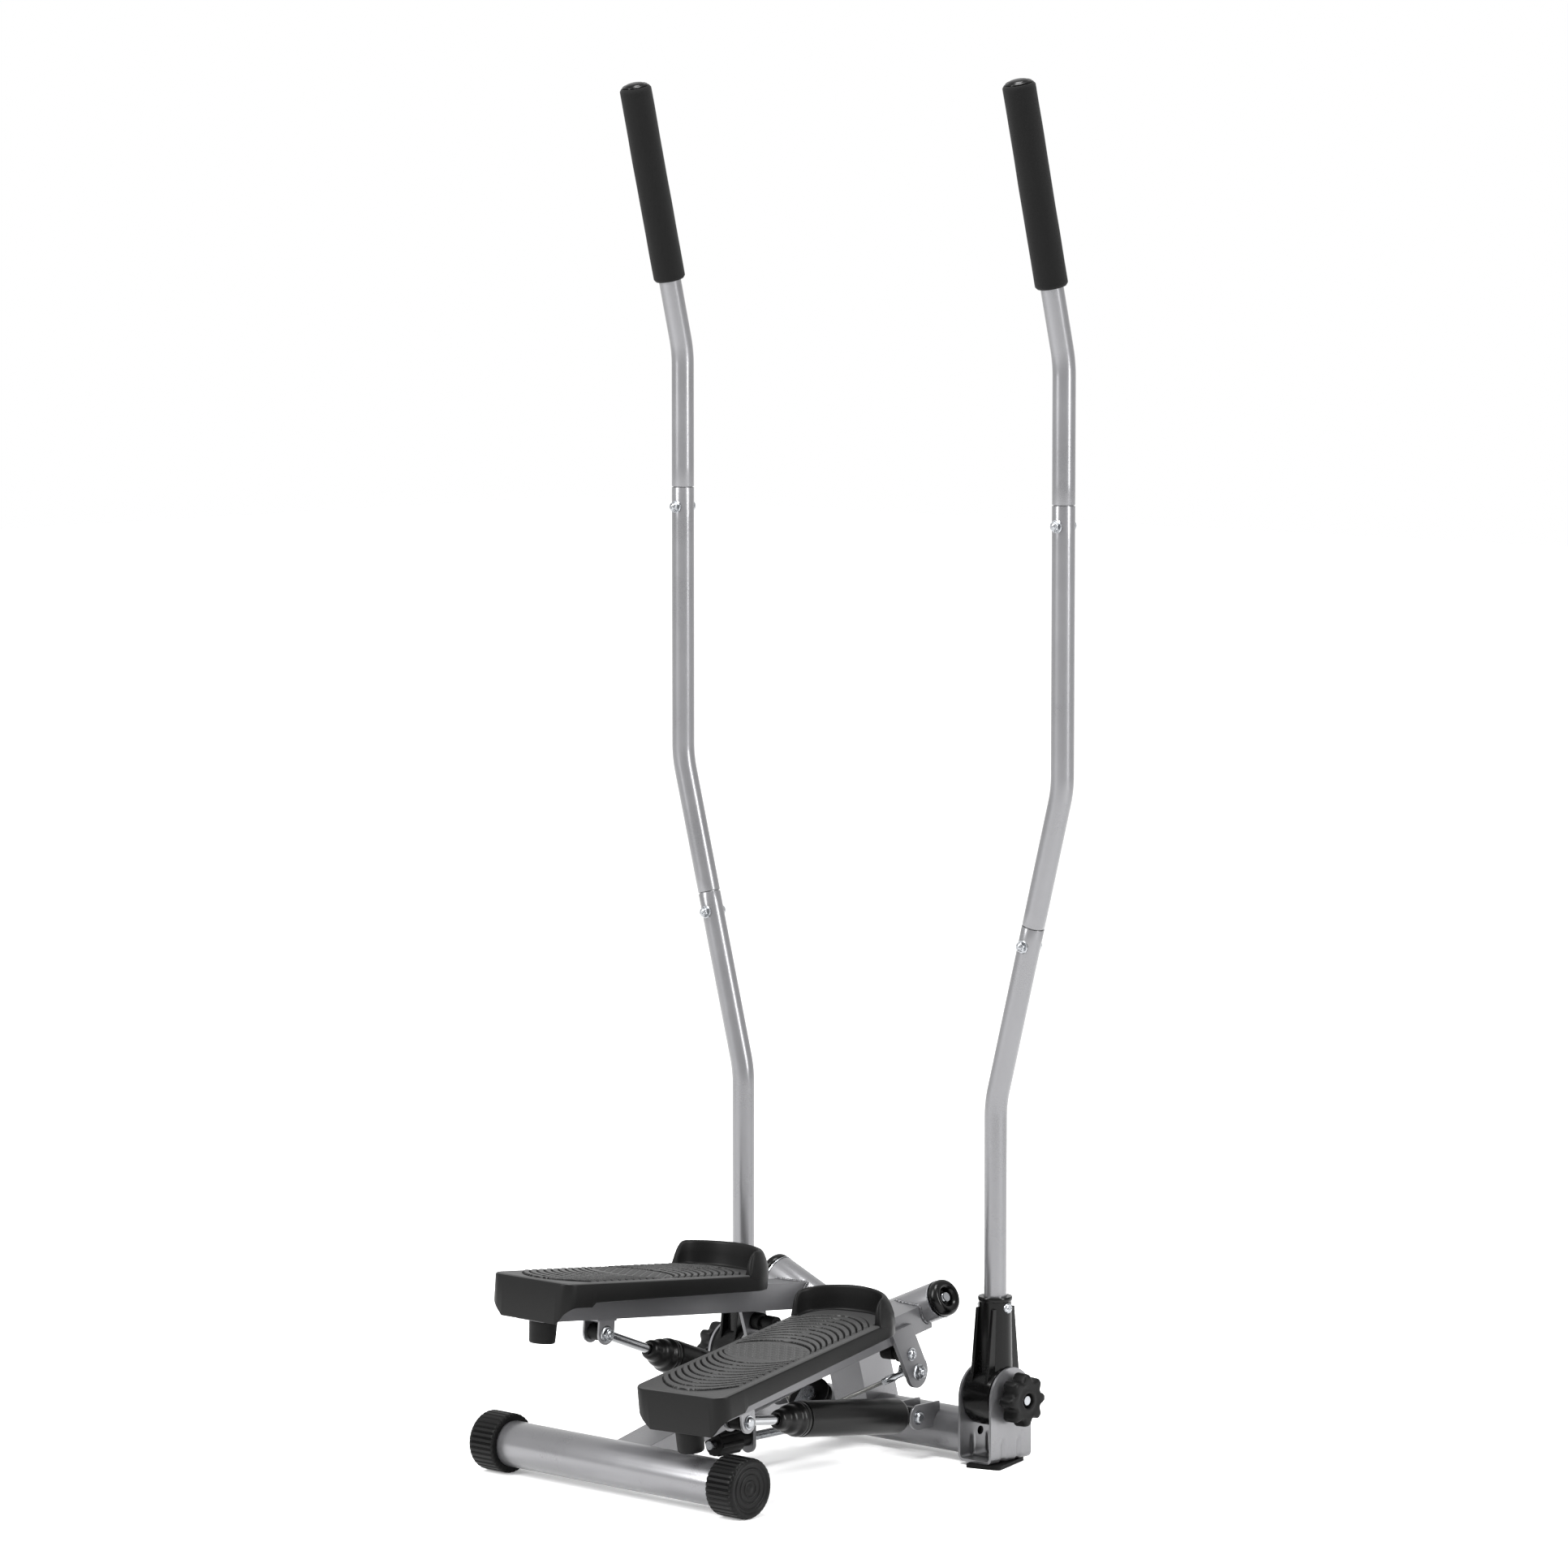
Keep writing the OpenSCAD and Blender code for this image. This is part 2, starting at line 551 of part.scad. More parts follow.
rear_tube();
rear_caps();
main_beam();
center_post();
front_tube();
handle_bracket_left();
handle_bracket_right();
foot_pads();
cylinder_lugs();
pedal_axles();
axle_washers();
axle_caps();
cylinder_bolts();
handle_pivot_bolts();
adjuster_lug();
pulley_yoke();
wire_rope();
pulley();
height_knob();
pedal_arm_left();
pedal_arm_right();
pivot_sleeve_left();
pivot_sleeve_right();
sleeve_bushes_left();
sleeve_bushes_right();
footplate_left();
footplate_right();
heel_bumper_left();
heel_bumper_right();
rod_bracket_left();
rod_bracket_right();
link_plate_left();
link_plate_right();
pedal_bolts_left();
pedal_bolts_right();
stop_roller_left();
stop_roller_right();
cylinder_barrel_left();
cylinder_barrel_right();
cylinder_neck_left();
cylinder_neck_right();
piston_rod_left();
piston_rod_right();
handle_hub_left();
handle_hub_right();
lower_tube_left();
lower_tube_right();
middle_tube_left();
middle_tube_right();
upper_tube_left();
upper_tube_right();
foam_grip_left();
foam_grip_right();
grip_plug_left();
grip_plug_right();
handle_bolts_left();
handle_bolts_right();
star_knob_left();
star_knob_right();
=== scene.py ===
import math
import random
import bpy
import bmesh
import numpy as np
from mathutils import Matrix, Vector


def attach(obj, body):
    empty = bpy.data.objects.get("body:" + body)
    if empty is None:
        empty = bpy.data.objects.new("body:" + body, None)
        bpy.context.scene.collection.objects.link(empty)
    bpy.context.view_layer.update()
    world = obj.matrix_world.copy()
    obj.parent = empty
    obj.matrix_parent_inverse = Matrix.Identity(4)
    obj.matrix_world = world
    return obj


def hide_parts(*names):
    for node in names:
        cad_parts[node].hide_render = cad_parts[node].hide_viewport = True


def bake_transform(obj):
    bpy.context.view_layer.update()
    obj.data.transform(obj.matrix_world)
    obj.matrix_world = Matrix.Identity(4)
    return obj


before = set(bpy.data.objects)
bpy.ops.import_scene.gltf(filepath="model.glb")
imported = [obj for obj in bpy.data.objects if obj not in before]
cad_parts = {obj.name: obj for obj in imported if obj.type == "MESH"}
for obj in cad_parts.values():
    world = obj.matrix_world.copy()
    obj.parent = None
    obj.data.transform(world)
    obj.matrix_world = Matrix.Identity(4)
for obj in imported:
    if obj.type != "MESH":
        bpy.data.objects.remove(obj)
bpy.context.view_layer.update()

random.seed(7)
rng = np.random.default_rng(7)
SCN = bpy.context.scene
RAD = math.radians
sin, cos, pi = math.sin, math.cos, math.pi

# ------------------------------------------------------------------ camera, light, floor
cd = bpy.data.cameras.new("camera")
cd.lens = 146.75
cd.sensor_width = 36.0
cd.clip_end = 60
cam = bpy.data.objects.new("camera", cd)
cam.location = (4.75224, -5.08181, 1.45038)
cam.rotation_euler = (RAD(84.32), 0, RAD(42.68))
SCN.collection.objects.link(cam)
SCN.camera = cam
SCN.view_settings.view_transform = "Standard"

world = bpy.data.worlds.new("studio")
SCN.world = world
world.use_nodes = True
bg = world.node_tree.nodes.get("Background") or world.node_tree.nodes.new("ShaderNodeBackground")
bg.inputs[0].default_value = (1, 1, 1, 1)
bg.inputs[1].default_value = 1.0


def area(name, loc, target, size, power):
    d = bpy.data.lights.new(name, "AREA")
    d.shape = "RECTANGLE"
    d.size, d.size_y = size
    d.energy = power
    o = bpy.data.objects.new(name, d)
    o.location = loc
    o.rotation_euler = (Vector(target) - Vector(loc)).to_track_quat("-Z", "Y").to_euler()
    SCN.collection.objects.link(o)


area("key", (-1.6, -3.6, 2.8), (0, 0, 0.6), (0.6, 3.2), 260)
area("fill", (4.2, 0.6, 2.2), (0, 0, 0.6), (0.7, 3.0), 190)
area("top", (0.2, -0.3, 3.6), (0, 0, 0.2), (1.2, 1.2), 120)

fm = bpy.data.meshes.new("floor")
fm.from_pydata([(-14, -14, 0), (14, -14, 0), (14, 14, 0), (-14, 14, 0)], [], [(0, 1, 2, 3)])
floor = bpy.data.objects.new("floor", fm)
SCN.collection.objects.link(floor)

# ------------------------------------------------------------------ materials


def lin(v):
    return tuple((c / 12.92 if c <= 0.04045 else ((c + 0.055) / 1.055) ** 2.4) for c in [x / 255.0 for x in v])


def material(name, rgb, rough, metallic=0.0, spec=0.5, var=0.08, rvar=0.06, grain=900.0, bump=0.15, depth=0.0001,
             mottle=18.0, coat=0.0, sheen=0.0, pores=False, stretch=None, coat_rough=0.1):
    m = bpy.data.materials.new(name)
    m.use_nodes = True
    nt = m.node_tree
    b = nt.nodes.get("Principled BSDF")
    link = nt.links.new

    def node(kind, **kw):
        n = nt.nodes.new(kind)
        for k, v in kw.items():
            setattr(n, k, v)
        return n
    tc = node("ShaderNodeTexCoord")
    mp = node("ShaderNodeMapping")
    link(tc.outputs["Object"], mp.inputs["Vector"])
    if stretch:
        mp.inputs["Scale"].default_value = stretch
    big = node("ShaderNodeTexNoise")
    big.inputs["Scale"].default_value = mottle
    big.inputs["Detail"].default_value = 5
    link(mp.outputs[0], big.inputs["Vector"])
    fine = node("ShaderNodeTexNoise")
    fine.inputs["Scale"].default_value = grain
    fine.inputs["Detail"].default_value = 3
    link(mp.outputs[0], fine.inputs["Vector"])
    mix = node("ShaderNodeMix", data_type="FLOAT")
    mix.inputs[0].default_value = 0.4
    link(big.outputs[0], mix.inputs[2])
    link(fine.outputs[0], mix.inputs[3])
    ramp = node("ShaderNodeValToRGB")
    c = lin(rgb)
    e = ramp.color_ramp.elements
    e[0].position, e[1].position = 0.3, 0.7
    e[0].color = tuple(min(1, x * (1 - var)) for x in c) + (1,)
    e[1].color = tuple(min(1, x * (1 + var)) for x in c) + (1,)
    link(mix.outputs[0], ramp.inputs[0])
    link(ramp.outputs[0], b.inputs["Base Color"])
    mr = node("ShaderNodeMapRange")
    mr.inputs["From Min"].default_value = 0.3
    mr.inputs["From Max"].default_value = 0.7
    mr.inputs["To Min"].default_value = max(0.02, rough - rvar)
    mr.inputs["To Max"].default_value = min(1, rough + rvar)
    link(mix.outputs[0], mr.inputs["Value"])
    link(mr.outputs[0], b.inputs["Roughness"])
    b.inputs["Metallic"].default_value = metallic
    b.inputs["Specular IOR Level"].default_value = spec
    if coat:
        b.inputs["Coat Weight"].default_value = coat
        b.inputs["Coat Roughness"].default_value = coat_rough
    if sheen:
        b.inputs["Sheen Weight"].default_value = sheen
        b.inputs["Sheen Roughness"].default_value = 0.6
    bp = node("ShaderNodeBump")
    bp.inputs["Strength"].default_value = bump
    bp.inputs["Distance"].default_value = depth
    if pores:
        vo = node("ShaderNodeTexVoronoi")
        vo.inputs["Scale"].default_value = grain * 0.8
        link(mp.outputs[0], vo.inputs["Vector"])
        ad = node("ShaderNodeMath", operation="ADD")
        link(vo.outputs["Distance"], ad.inputs[0])
        link(fine.outputs[0], ad.inputs[1])
        link(ad.outputs[0], bp.inputs["Height"])
    else:
        link(fine.outputs[0], bp.inputs["Height"])
    link(bp.outputs[0], b.inputs["Normal"])
    return m


M = {
    "silver_paint": material("silver_paint", (108, 108, 110), 0.3, metallic=0.65, spec=0.45, var=0.06, grain=2600, bump=0.12, coat=0.3, coat_rough=0.16),
    "grey_paint": material("grey_paint", (88, 88, 90), 0.33, metallic=0.55, spec=0.4, var=0.07, grain=2600, bump=0.12, coat=0.2, coat_rough=0.2),
    "black_paint": material("black_paint", (8, 8, 8), 0.32, spec=0.2, var=0.15, grain=1800, bump=0.1),
    "black_plastic": material("black_plastic", (9, 9, 9), 0.4, spec=0.1, var=0.15, grain=1400, bump=0.3, depth=0.00012),
    "gloss_black_plastic": material("gloss_black_plastic", (5, 5, 5), 0.24, spec=0.16, var=0.2, grain=400, bump=0.05),
    "tread_plastic": material("tread_plastic", (48, 48, 48), 0.45, spec=0.2, var=0.1, grain=1300, bump=0.35, depth=0.00015),
    # dark skirt plastic; the footplate also puts it on tread grooves as painted groove shadow
    "skirt_plastic": material("skirt_plastic", (12, 12, 12), 0.42, spec=0.1, var=0.12, grain=1300, bump=0.3, depth=0.00012),
    "black_rubber": material("black_rubber", (11, 11, 11), 0.55, spec=0.1, var=0.14, grain=1100, bump=0.35, depth=0.00015),
    "white_nylon": material("white_nylon", (215, 213, 206), 0.45, spec=0.4, var=0.04, grain=900, bump=0.1),
    "foam": material("foam", (8, 8, 8), 0.7, spec=0.07, var=0.3, grain=1900, bump=0.55, depth=0.0002, sheen=0.04, pores=True),
    "zinc_steel": material("zinc_steel", (148, 150, 153), 0.28, metallic=1.0, var=0.12, grain=700, bump=0.08, mottle=120),
    "chrome_rod": material("chrome_rod", (162, 163, 165), 0.14, metallic=1.0, var=0.05, grain=500, bump=0.03, stretch=(1, 1, 0.1)),
    "wire": material("wire", (116, 116, 114), 0.36, metallic=1.0, var=0.2, grain=900, bump=0.1),
    "floor": material("floor", (243, 243, 243), 0.9, spec=0.1, var=0.01, grain=60, bump=0.02, mottle=2),
}
fb = M["floor"].node_tree.nodes["Principled BSDF"]
fb.inputs["Emission Color"].default_value = (1, 1, 1, 1)
fb.inputs["Emission Strength"].default_value = 0.22
fm.materials.append(M["floor"])

# ------------------------------------------------------------------ frames, in millimetres
Y0 = 15.89
C = Vector((121.2, 180.2, 176))
CANT = 22.98
U = Vector((cos(RAD(CANT)), 0, sin(RAD(CANT))))
PIV = Vector((190.5, 194, 75.2))
F = Vector((105, 145, 47.8))
E = (-4.1, -40.5, -63.8)
K = (20, 248, -87)
S = (20, 238, -64)
HALF = 6.87


def T(x, y, z):
    return Matrix.Translation((x, y, z))


def R(deg, axis):
    return Matrix.Rotation(RAD(deg), 4, axis)


def flip(s):
    return Matrix.Diagonal((-1, 1, 1, 1)) if s < 0 else Matrix.Identity(4)


def ped(s):
    return T(0, Y0, 0) @ flip(s) @ T(*C) @ R(s * HALF, U) @ T(*-C) @ T(103.35, -109.15, 185.5) @ R(3, "Z") @ R(0.8, "X")


def axle(s):
    return T(0, Y0, 0) @ flip(s) @ T(*C) @ R(90 - CANT, "Y")


def cyl(s):
    return T(0, Y0, 0) @ flip(s) @ T(*F) @ R(s * 7.08, U) @ R(-0.72, "Z") @ R(76, "X")


def lever(s):
    return T(0, Y0, 0) @ flip(s) @ T(*PIV)


def side(s):
    return "right" if s > 0 else "left"


Z1, Z2, Z3 = 402, 755.5, 1220
FL, LEAN, BR = 14.9, 14.5, 120
DX2 = (Z2 - Z1) * math.tan(RAD(FL))
TOP = (1519 - Z3) / cos(RAD(LEAN))
T1 = BR * math.tan(RAD(FL / 2))
T3 = BR * math.tan(RAD(LEAN / 2))
SEG_B = T(0, 0, Z1 - PIV.z) @ R(FL, "Y")
SEG_C = T(DX2, 0, Z2 - PIV.z)
SEG_D = T(DX2, 0, Z3 - PIV.z) @ R(LEAN, "X")
LB = (Z2 - Z1) / cos(RAD(FL))
SJ1 = (602 - Z1) / cos(RAD(FL))
ZJ2 = 1065

# ------------------------------------------------------------------ mesh helpers


class Shape:
    def __init__(self):
        self.v, self.f = [], []

    def add(self, vs, fs, m=None):
        k = len(self.v)
        if m is None:
            self.v += [tuple(p) for p in vs]
            self.f += [tuple(i + k for i in f) for f in fs]
        else:
            self.v += [tuple(m @ Vector(p)) for p in vs]
            if m.to_3x3().determinant() < 0:
                self.f += [tuple(i + k for i in reversed(f)) for f in fs]
            else:
                self.f += [tuple(i + k for i in f) for f in fs]
        return self

    def loft(self, rings, m=None, cap0=True, cap1=True):
        n = len(rings[0])
        vs = [p for r in rings for p in r]
        fs = []
        for j in range(len(rings) - 1):
            for i in range(n):
                a, b = j * n + i, j * n + (i + 1) % n
                fs.append((a, b, b + n, a + n))
        if cap0:
            fs.append(tuple(reversed(range(n))))
        if cap1:
            fs.append(tuple(range((len(rings) - 1) * n, len(rings) * n)))
        return self.add(vs, fs, m)

    # profile of (r, z) with z rising, closed on the axis where r is 0
    def revolve(self, prof, m=None, n=64, rf=None):
        rings = []
        for r, z in prof:
            r = max(r, 0.001)
            rings.append([(r * (rf(2 * pi * i / n, z) if rf else 1) * cos(2 * pi * i / n),
                           r * (rf(2 * pi * i / n, z) if rf else 1) * sin(2 * pi * i / n), z) for i in range(n)])
        return self.loft(rings, m)

    # closed ring profile of (r, z) that doesn't reach the axis
    def ring(self, prof, m=None, n=64):
        rings = [[(r * cos(2 * pi * i / n), r * sin(2 * pi * i / n), z) for i in range(n)] for r, z in prof]
        rings.append(rings[0])
        vs = [p for r in rings[:-1] for p in r]
        k = len(prof)
        fs = []
        for j in range(k):
            for i in range(n):
                a, b = j * n + i, j * n + (i + 1) % n
                c, d = ((j + 1) % k) * n + (i + 1) % n, ((j + 1) % k) * n + i
                fs.append((a, b, c, d))
        return self.add(vs, fs, m)

    def prism(self, poly, z0, z1, m=None):
        return self.loft([[(x, y, z0) for x, y in poly], [(x, y, z1) for x, y in poly]], m)

    def box(self, lo, hi, m=None):
        return self.prism([(lo[0], lo[1]), (hi[0], lo[1]), (hi[0], hi[1]), (lo[0], hi[1])], lo[2], hi[2], m)

    def sweep(self, pts, rad, n=40, m=None):
        pts = [Vector(p) for p in pts]
        rings, up = [], None
        for i, p in enumerate(pts):
            t = (pts[min(i + 1, len(pts) - 1)] - pts[max(i - 1, 0)]).normalized()
            if up is None:
                up = t.orthogonal().normalized()
            up = (up - t * up.dot(t)).normalized()
            w = t.cross(up)
            r = rad[i] if hasattr(rad, "__len__") else rad
            rings.append([tuple(p + r * (cos(2 * pi * k / n) * up + sin(2 * pi * k / n) * w)) for k in range(n)])
        return self.loft(rings, m)

    def obj(self, name, mat, body, replaces=(), slot=None, bevel=0.0, angle=35, segs=2, weld=False):
        me = bpy.data.meshes.new(name)
        me.from_pydata([(x * 0.001, y * 0.001, z * 0.001) for x, y, z in self.v], [], self.f)
        bm = bmesh.new()
        bm.from_mesh(me)
        bmesh.ops.remove_doubles(bm, verts=bm.verts, dist=2e-6)
        bmesh.ops.recalc_face_normals(bm, faces=bm.faces)
        bm.to_mesh(me)
        bm.free()
        me.shade_smooth()
        me.set_sharp_from_angle(angle=RAD(angle))
        for mm in (mat if isinstance(mat, (list, tuple)) else [mat]):
            me.materials.append(M[mm])
        o = bpy.data.objects.new(name, me)
        SCN.collection.objects.link(o)
        if bevel:
            b = o.modifiers.new("edge", "BEVEL")
            b.width = bevel * 0.001
            b.segments = segs
            b.limit_method = "ANGLE"
            b.angle_limit = RAD(angle)
            b.harden_normals = True
        if isinstance(body, str):
            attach(o, body)
        if replaces:
            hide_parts(*replaces)
        return o


def along_x():
    return R(90, "Y")


def hexring(af, z, rmax, n=72, turn=0.0):
    out = []
    for i in range(n):
        a = 2 * pi * i / n
        r = af / 2 / cos(((a + pi / 6) % (pi / 3)) - pi / 6)
        r = min(r, rmax)
        out.append((r * cos(a + turn), r * sin(a + turn), z))
    return out


# flange lock nut seen from +z, its seat at z = 0
def nut(sh, m, af=13.0, h=7.0, stud=3.5, r=4.0, flange=True):
    rm = af / 2 / cos(pi / 6)
    if flange:
        sh.revolve([(0, 0), (rm + 1.6, 0), (rm + 1.8, 0.5), (rm + 1.3, 1.2), (rm - 0.4, 1.9), (0, 1.9)], m, 48)
    z0 = 1.2 if flange else 0.0
    sh.loft([hexring(af, z0, rm), hexring(af, h - 1.6, rm), hexring(af, h - 0.9, rm - 0.5), hexring(af, h - 0.5, af / 2 - 0.2)], m)
    sh.revolve([(0, h - 0.6), (af / 2 - 1.0, h - 0.6), (af / 2 - 1.2, h + 0.6), (af / 2 - 2.2, h + 1.1), (r + 0.2, h + 0.9), (0, h + 0.9)], m, 40)
    # stud end with threads
    prof = [(0, h)]
    k = int(stud / 0.5)
    for i in range(k):
        prof += [(r - 0.05, h + 0.25 + i * 0.5), (r - 0.45, h + 0.5 + i * 0.5)]
    prof += [(r - 0.9, h + stud + 0.6), (0, h + stud + 0.6)]
    sh.revolve(prof, m, 32)


# button head with a socket, its seat at z = 0
def button(sh, m, r=7.5, h=4.4, hexs=4.5):
    prof = [(0, 0), (r, 0), (r, 0.5)]
    for i in range(1, 8):
        a = i / 8 * pi / 2
        prof.append((hexs + (r - hexs) * cos(a) * 1.0, 0.5 + (h - 0.5) * sin(a)))
    sh.revolve(prof + [(hexs - 0.6, h), (0, h)], m, 40)


# pan head with a cross slot
def pan(sh, m, r=5.6, h=3.4):
    n = 64
    prof = [(r, 0.0), (r, 0.6), (r * 0.93, h * 0.55), (r * 0.75, h * 0.86), (r * 0.5, h), (r * 0.36, h), (r * 0.2, h)]
    rings = []
    for j, (q, z) in enumerate(prof):
        ring = []
        for i in range(n):
            a = 2 * pi * i / n
            slot = max(0.0, 1 - (abs(sin(2 * a)) * 2.4)) if q < r * 0.62 else 0.0
            ring.append((q * cos(a), q * sin(a), z - 1.1 * slot))
        rings.append(ring)
    sh.loft(rings, m)


def smooth(e0, e1, x):
    t = np.clip((x - e0) / (e1 - e0), 0, 1)
    return t * t * (3 - 2 * t)


# ------------------------------------------------------------------ footplates
HW, YH, YT = 61.0, -148.0, 191.0
RH, RT = 14.0, 40.0
FIL = 3.0


def plate_columns():
    w = HW - FIL
    y0, y1 = YH + FIL, YT - FIL
    r1, r2 = RH - FIL, RT - FIL
    rows = []
    for i in range(12):
        a = pi / 2 * i / 12
        rows.append((y0 + r1 - r1 * cos(a), w - r1 + r1 * sin(a), sin(a), -cos(a)))
    ys = np.arange(y0 + r1, y1 - r2, 0.62)
    for y in ys:
        rows.append((float(y), w, 1.0, 0.0))
    for i in range(0, 49):
        b = pi / 2 * i / 48
        rows.append((y1 - r2 + r2 * sin(b), w - r2 + r2 * cos(b), cos(b), sin(b)))
    return rows


def ring_index(x, y):
    # k solves (x/a)^2 + ((y-yc)/b)^2 = 1 with a = 53 + 3k and b = 36 + 11.4k
    yy = y - 12.0
    lo = np.full_like(x, -3.05)
    hi = np.full_like(x, 30.0)
    for _ in range(26):
        k = (lo + hi) / 2
        g = (x / (53 + 3 * k)) ** 2 + (yy / (36 + 11.4 * k)) ** 2
        lo = np.where(g > 1, k, lo)
        hi = np.where(g > 1, hi, k)
    k = (lo + hi) / 2
    a, b = 53 + 3 * k, 36 + 11.4 * k
    gx, gy = 2 * x / a ** 2, 2 * yy / b ** 2
    gk = -2 * x ** 2 / a ** 3 * 3 - 2 * yy ** 2 / b ** 3 * 11.4
    grad = np.hypot(gx, gy) / np.maximum(np.abs(gk), 1e-9)
    return k, grad


def tread_height(x, y):
    k, grad = ring_index(x, y)
    fr = k - np.floor(k)
    d = np.minimum(fr, 1 - fr) / np.maximum(grad, 1e-6)
    rise = smooth(0.45, 1.35, d)
    # each ridge is tallest on the edge that faces the heel
    toe = smooth(-20.0, 44.0, y)
    ridge = rise * (1.35 + 0.75 * (toe * (1 - fr) + (1 - toe) * fr)) - 0.5 * (1 - rise)
    field = (k > 0) & (k < 10)
    h = np.where(field, ridge, 0.0)
    # oval field of short raised dashes
    px, py = 10.6, 7.4
    row = np.round((y - 12) / py)
    xs = x + (row % 2) * px / 2
    dx = (xs / px - np.round(xs / px)) * px
    dy = (y - 12) - row * py
    q = np.hypot(np.maximum(np.abs(dx) - 2.4, 0), dy)
    dash = 1.1 * (1 - smooth(0.7, 1.7, q))
    inner = 0.55 + dash * (1 - smooth(-0.75, -0.5, k))
    h = np.where(k <= 0, inner * smooth(0.5, 1.5, np.where(k > -0.999, -k / np.maximum(grad, 1e-6), 9.0)), h)
    # the margin ring between the last groove and the outline stays flat
    edge = smooth(51.6, 50.4, np.abs(x))
    return h * edge


# faces near a groove line; the footplate paints these dark as groove shadow
def groove(x, y, half=0.8):
    k, g = ring_index(np.array([x]), np.array([y]))
    k, g = float(k[0]), float(g[0])
    fr = k - math.floor(k)
    return -0.2 < k < 10.2 and min(fr, 1 - fr) / max(g, 1e-6) < half


def footplate(s):
    rows = plate_columns()
    nc = 171
    t = np.linspace(-1, 1, nc)
    Y = np.array([r[0] for r in rows])
    W = np.array([r[1] for r in rows])
    X = W[:, None] * t[None, :]
    YY = np.repeat(Y[:, None], nc, axis=1)
    Z = tread_height(X, YY)
    Z[0, :] = 0
    Z[-1, :] = 0
    Z[:, 0] = 0
    Z[:, -1] = 0
    nr = len(rows)
    vs = np.stack([X.ravel(), YY.ravel(), Z.ravel()], 1)
    i = np.arange(nr - 1)[:, None] * nc + np.arange(nc - 1)[None, :]
    i = i.ravel()
    fs = np.stack([i, i + 1, i + nc + 1, i + nc], 1)
    verts = [tuple(v) for v in vs.tolist()]
    faces = [tuple(f) for f in fs.tolist()]
    loop = []
    for c in range(nc - 1):
        loop.append((c, 0.0, -1.0))
    for r in range(nr - 1):
        loop.append((r * nc + nc - 1, rows[r][2], rows[r][3]))
    for c in range(nc - 1, 0, -1):
        loop.append(((nr - 1) * nc + c, 0.0, 1.0))
    for r in range(nr - 1, 0, -1):
        loop.append((r * nc, -rows[r][2], rows[r][3]))
    n = len(loop)
    top_faces = len(faces)

    def bottom(x, y):
        prof = -46.0 if y < -134 else (-46 + (y + 134) / 30 * 24.0 if y < -104 else -22 + 4.6 * (y + 104) / 295)
        ch = -46 + max(0.0, abs(x) - 41) * 0.95
        return max(prof, ch)
    prev = [l[0] for l in loop]
    base = [(verts[l[0]][0], verts[l[0]][1], l[1], l[2]) for l in loop]

    def ring(off, zf):
        k = len(verts)
        for x, y, nx, ny in base:
            px, py = x + nx * off, y + ny * off
            verts.append((px, py, zf(x + nx * FIL, y + ny * FIL)))
        return list(range(k, k + n))

    def join(a, b):
        for j in range(n):
            j2 = (j + 1) % n
            faces.append((a[j], b[j], b[j2], a[j2]))
    for kk in range(1, 6):
        th = pi / 2 * kk / 5
        r = ring(FIL * sin(th), lambda x, y, th=th: -FIL * (1 - cos(th)))
        join(prev, r)
        prev = r
    for off, f in ((FIL, lambda x, y: bottom(x, y) + 1.3), (FIL - 0.4, lambda x, y: bottom(x, y) + 0.4),
                   (FIL - 1.3, lambda x, y: bottom(x, y)), (FIL - 3.2, lambda x, y: bottom(x, y)),
                   (FIL - 3.4, lambda x, y: -16.9)):
        r = ring(off, f)
        join(prev, r)
        prev = r
    faces.append(tuple(prev))
    sh = Shape()
    sh.add(verts, faces, ped(s))
    o = sh.obj("visual_footplate_" + side(s), ["tread_plastic", "skirt_plastic"], side(s) + "_pedal", ["footplate_" + side(s)],
               slot="tread_plastic", angle=50)
    # the skirt is a darker plastic than the tread; the groove floors and the heel-facing ridge walls also get this dark
    # material as painted groove shadow
    me = o.data
    inv = ped(s).inverted()
    turn = inv.to_3x3()
    for p in me.polygons:
        q = inv @ (p.center * 1000)
        heel = (turn @ p.normal).y < -0.25
        # skirt faces keep the dark plastic; groove floors and heel-facing ridge walls are painted dark as groove shadow
        if q.z < -1.2 or (abs(q.x) < 51.2 and (q.z < 0.35 or (heel and q.z < 1.5)) and groove(q.x, q.y, 1.1 if heel else 0.8)):
            p.material_index = 1
    return o


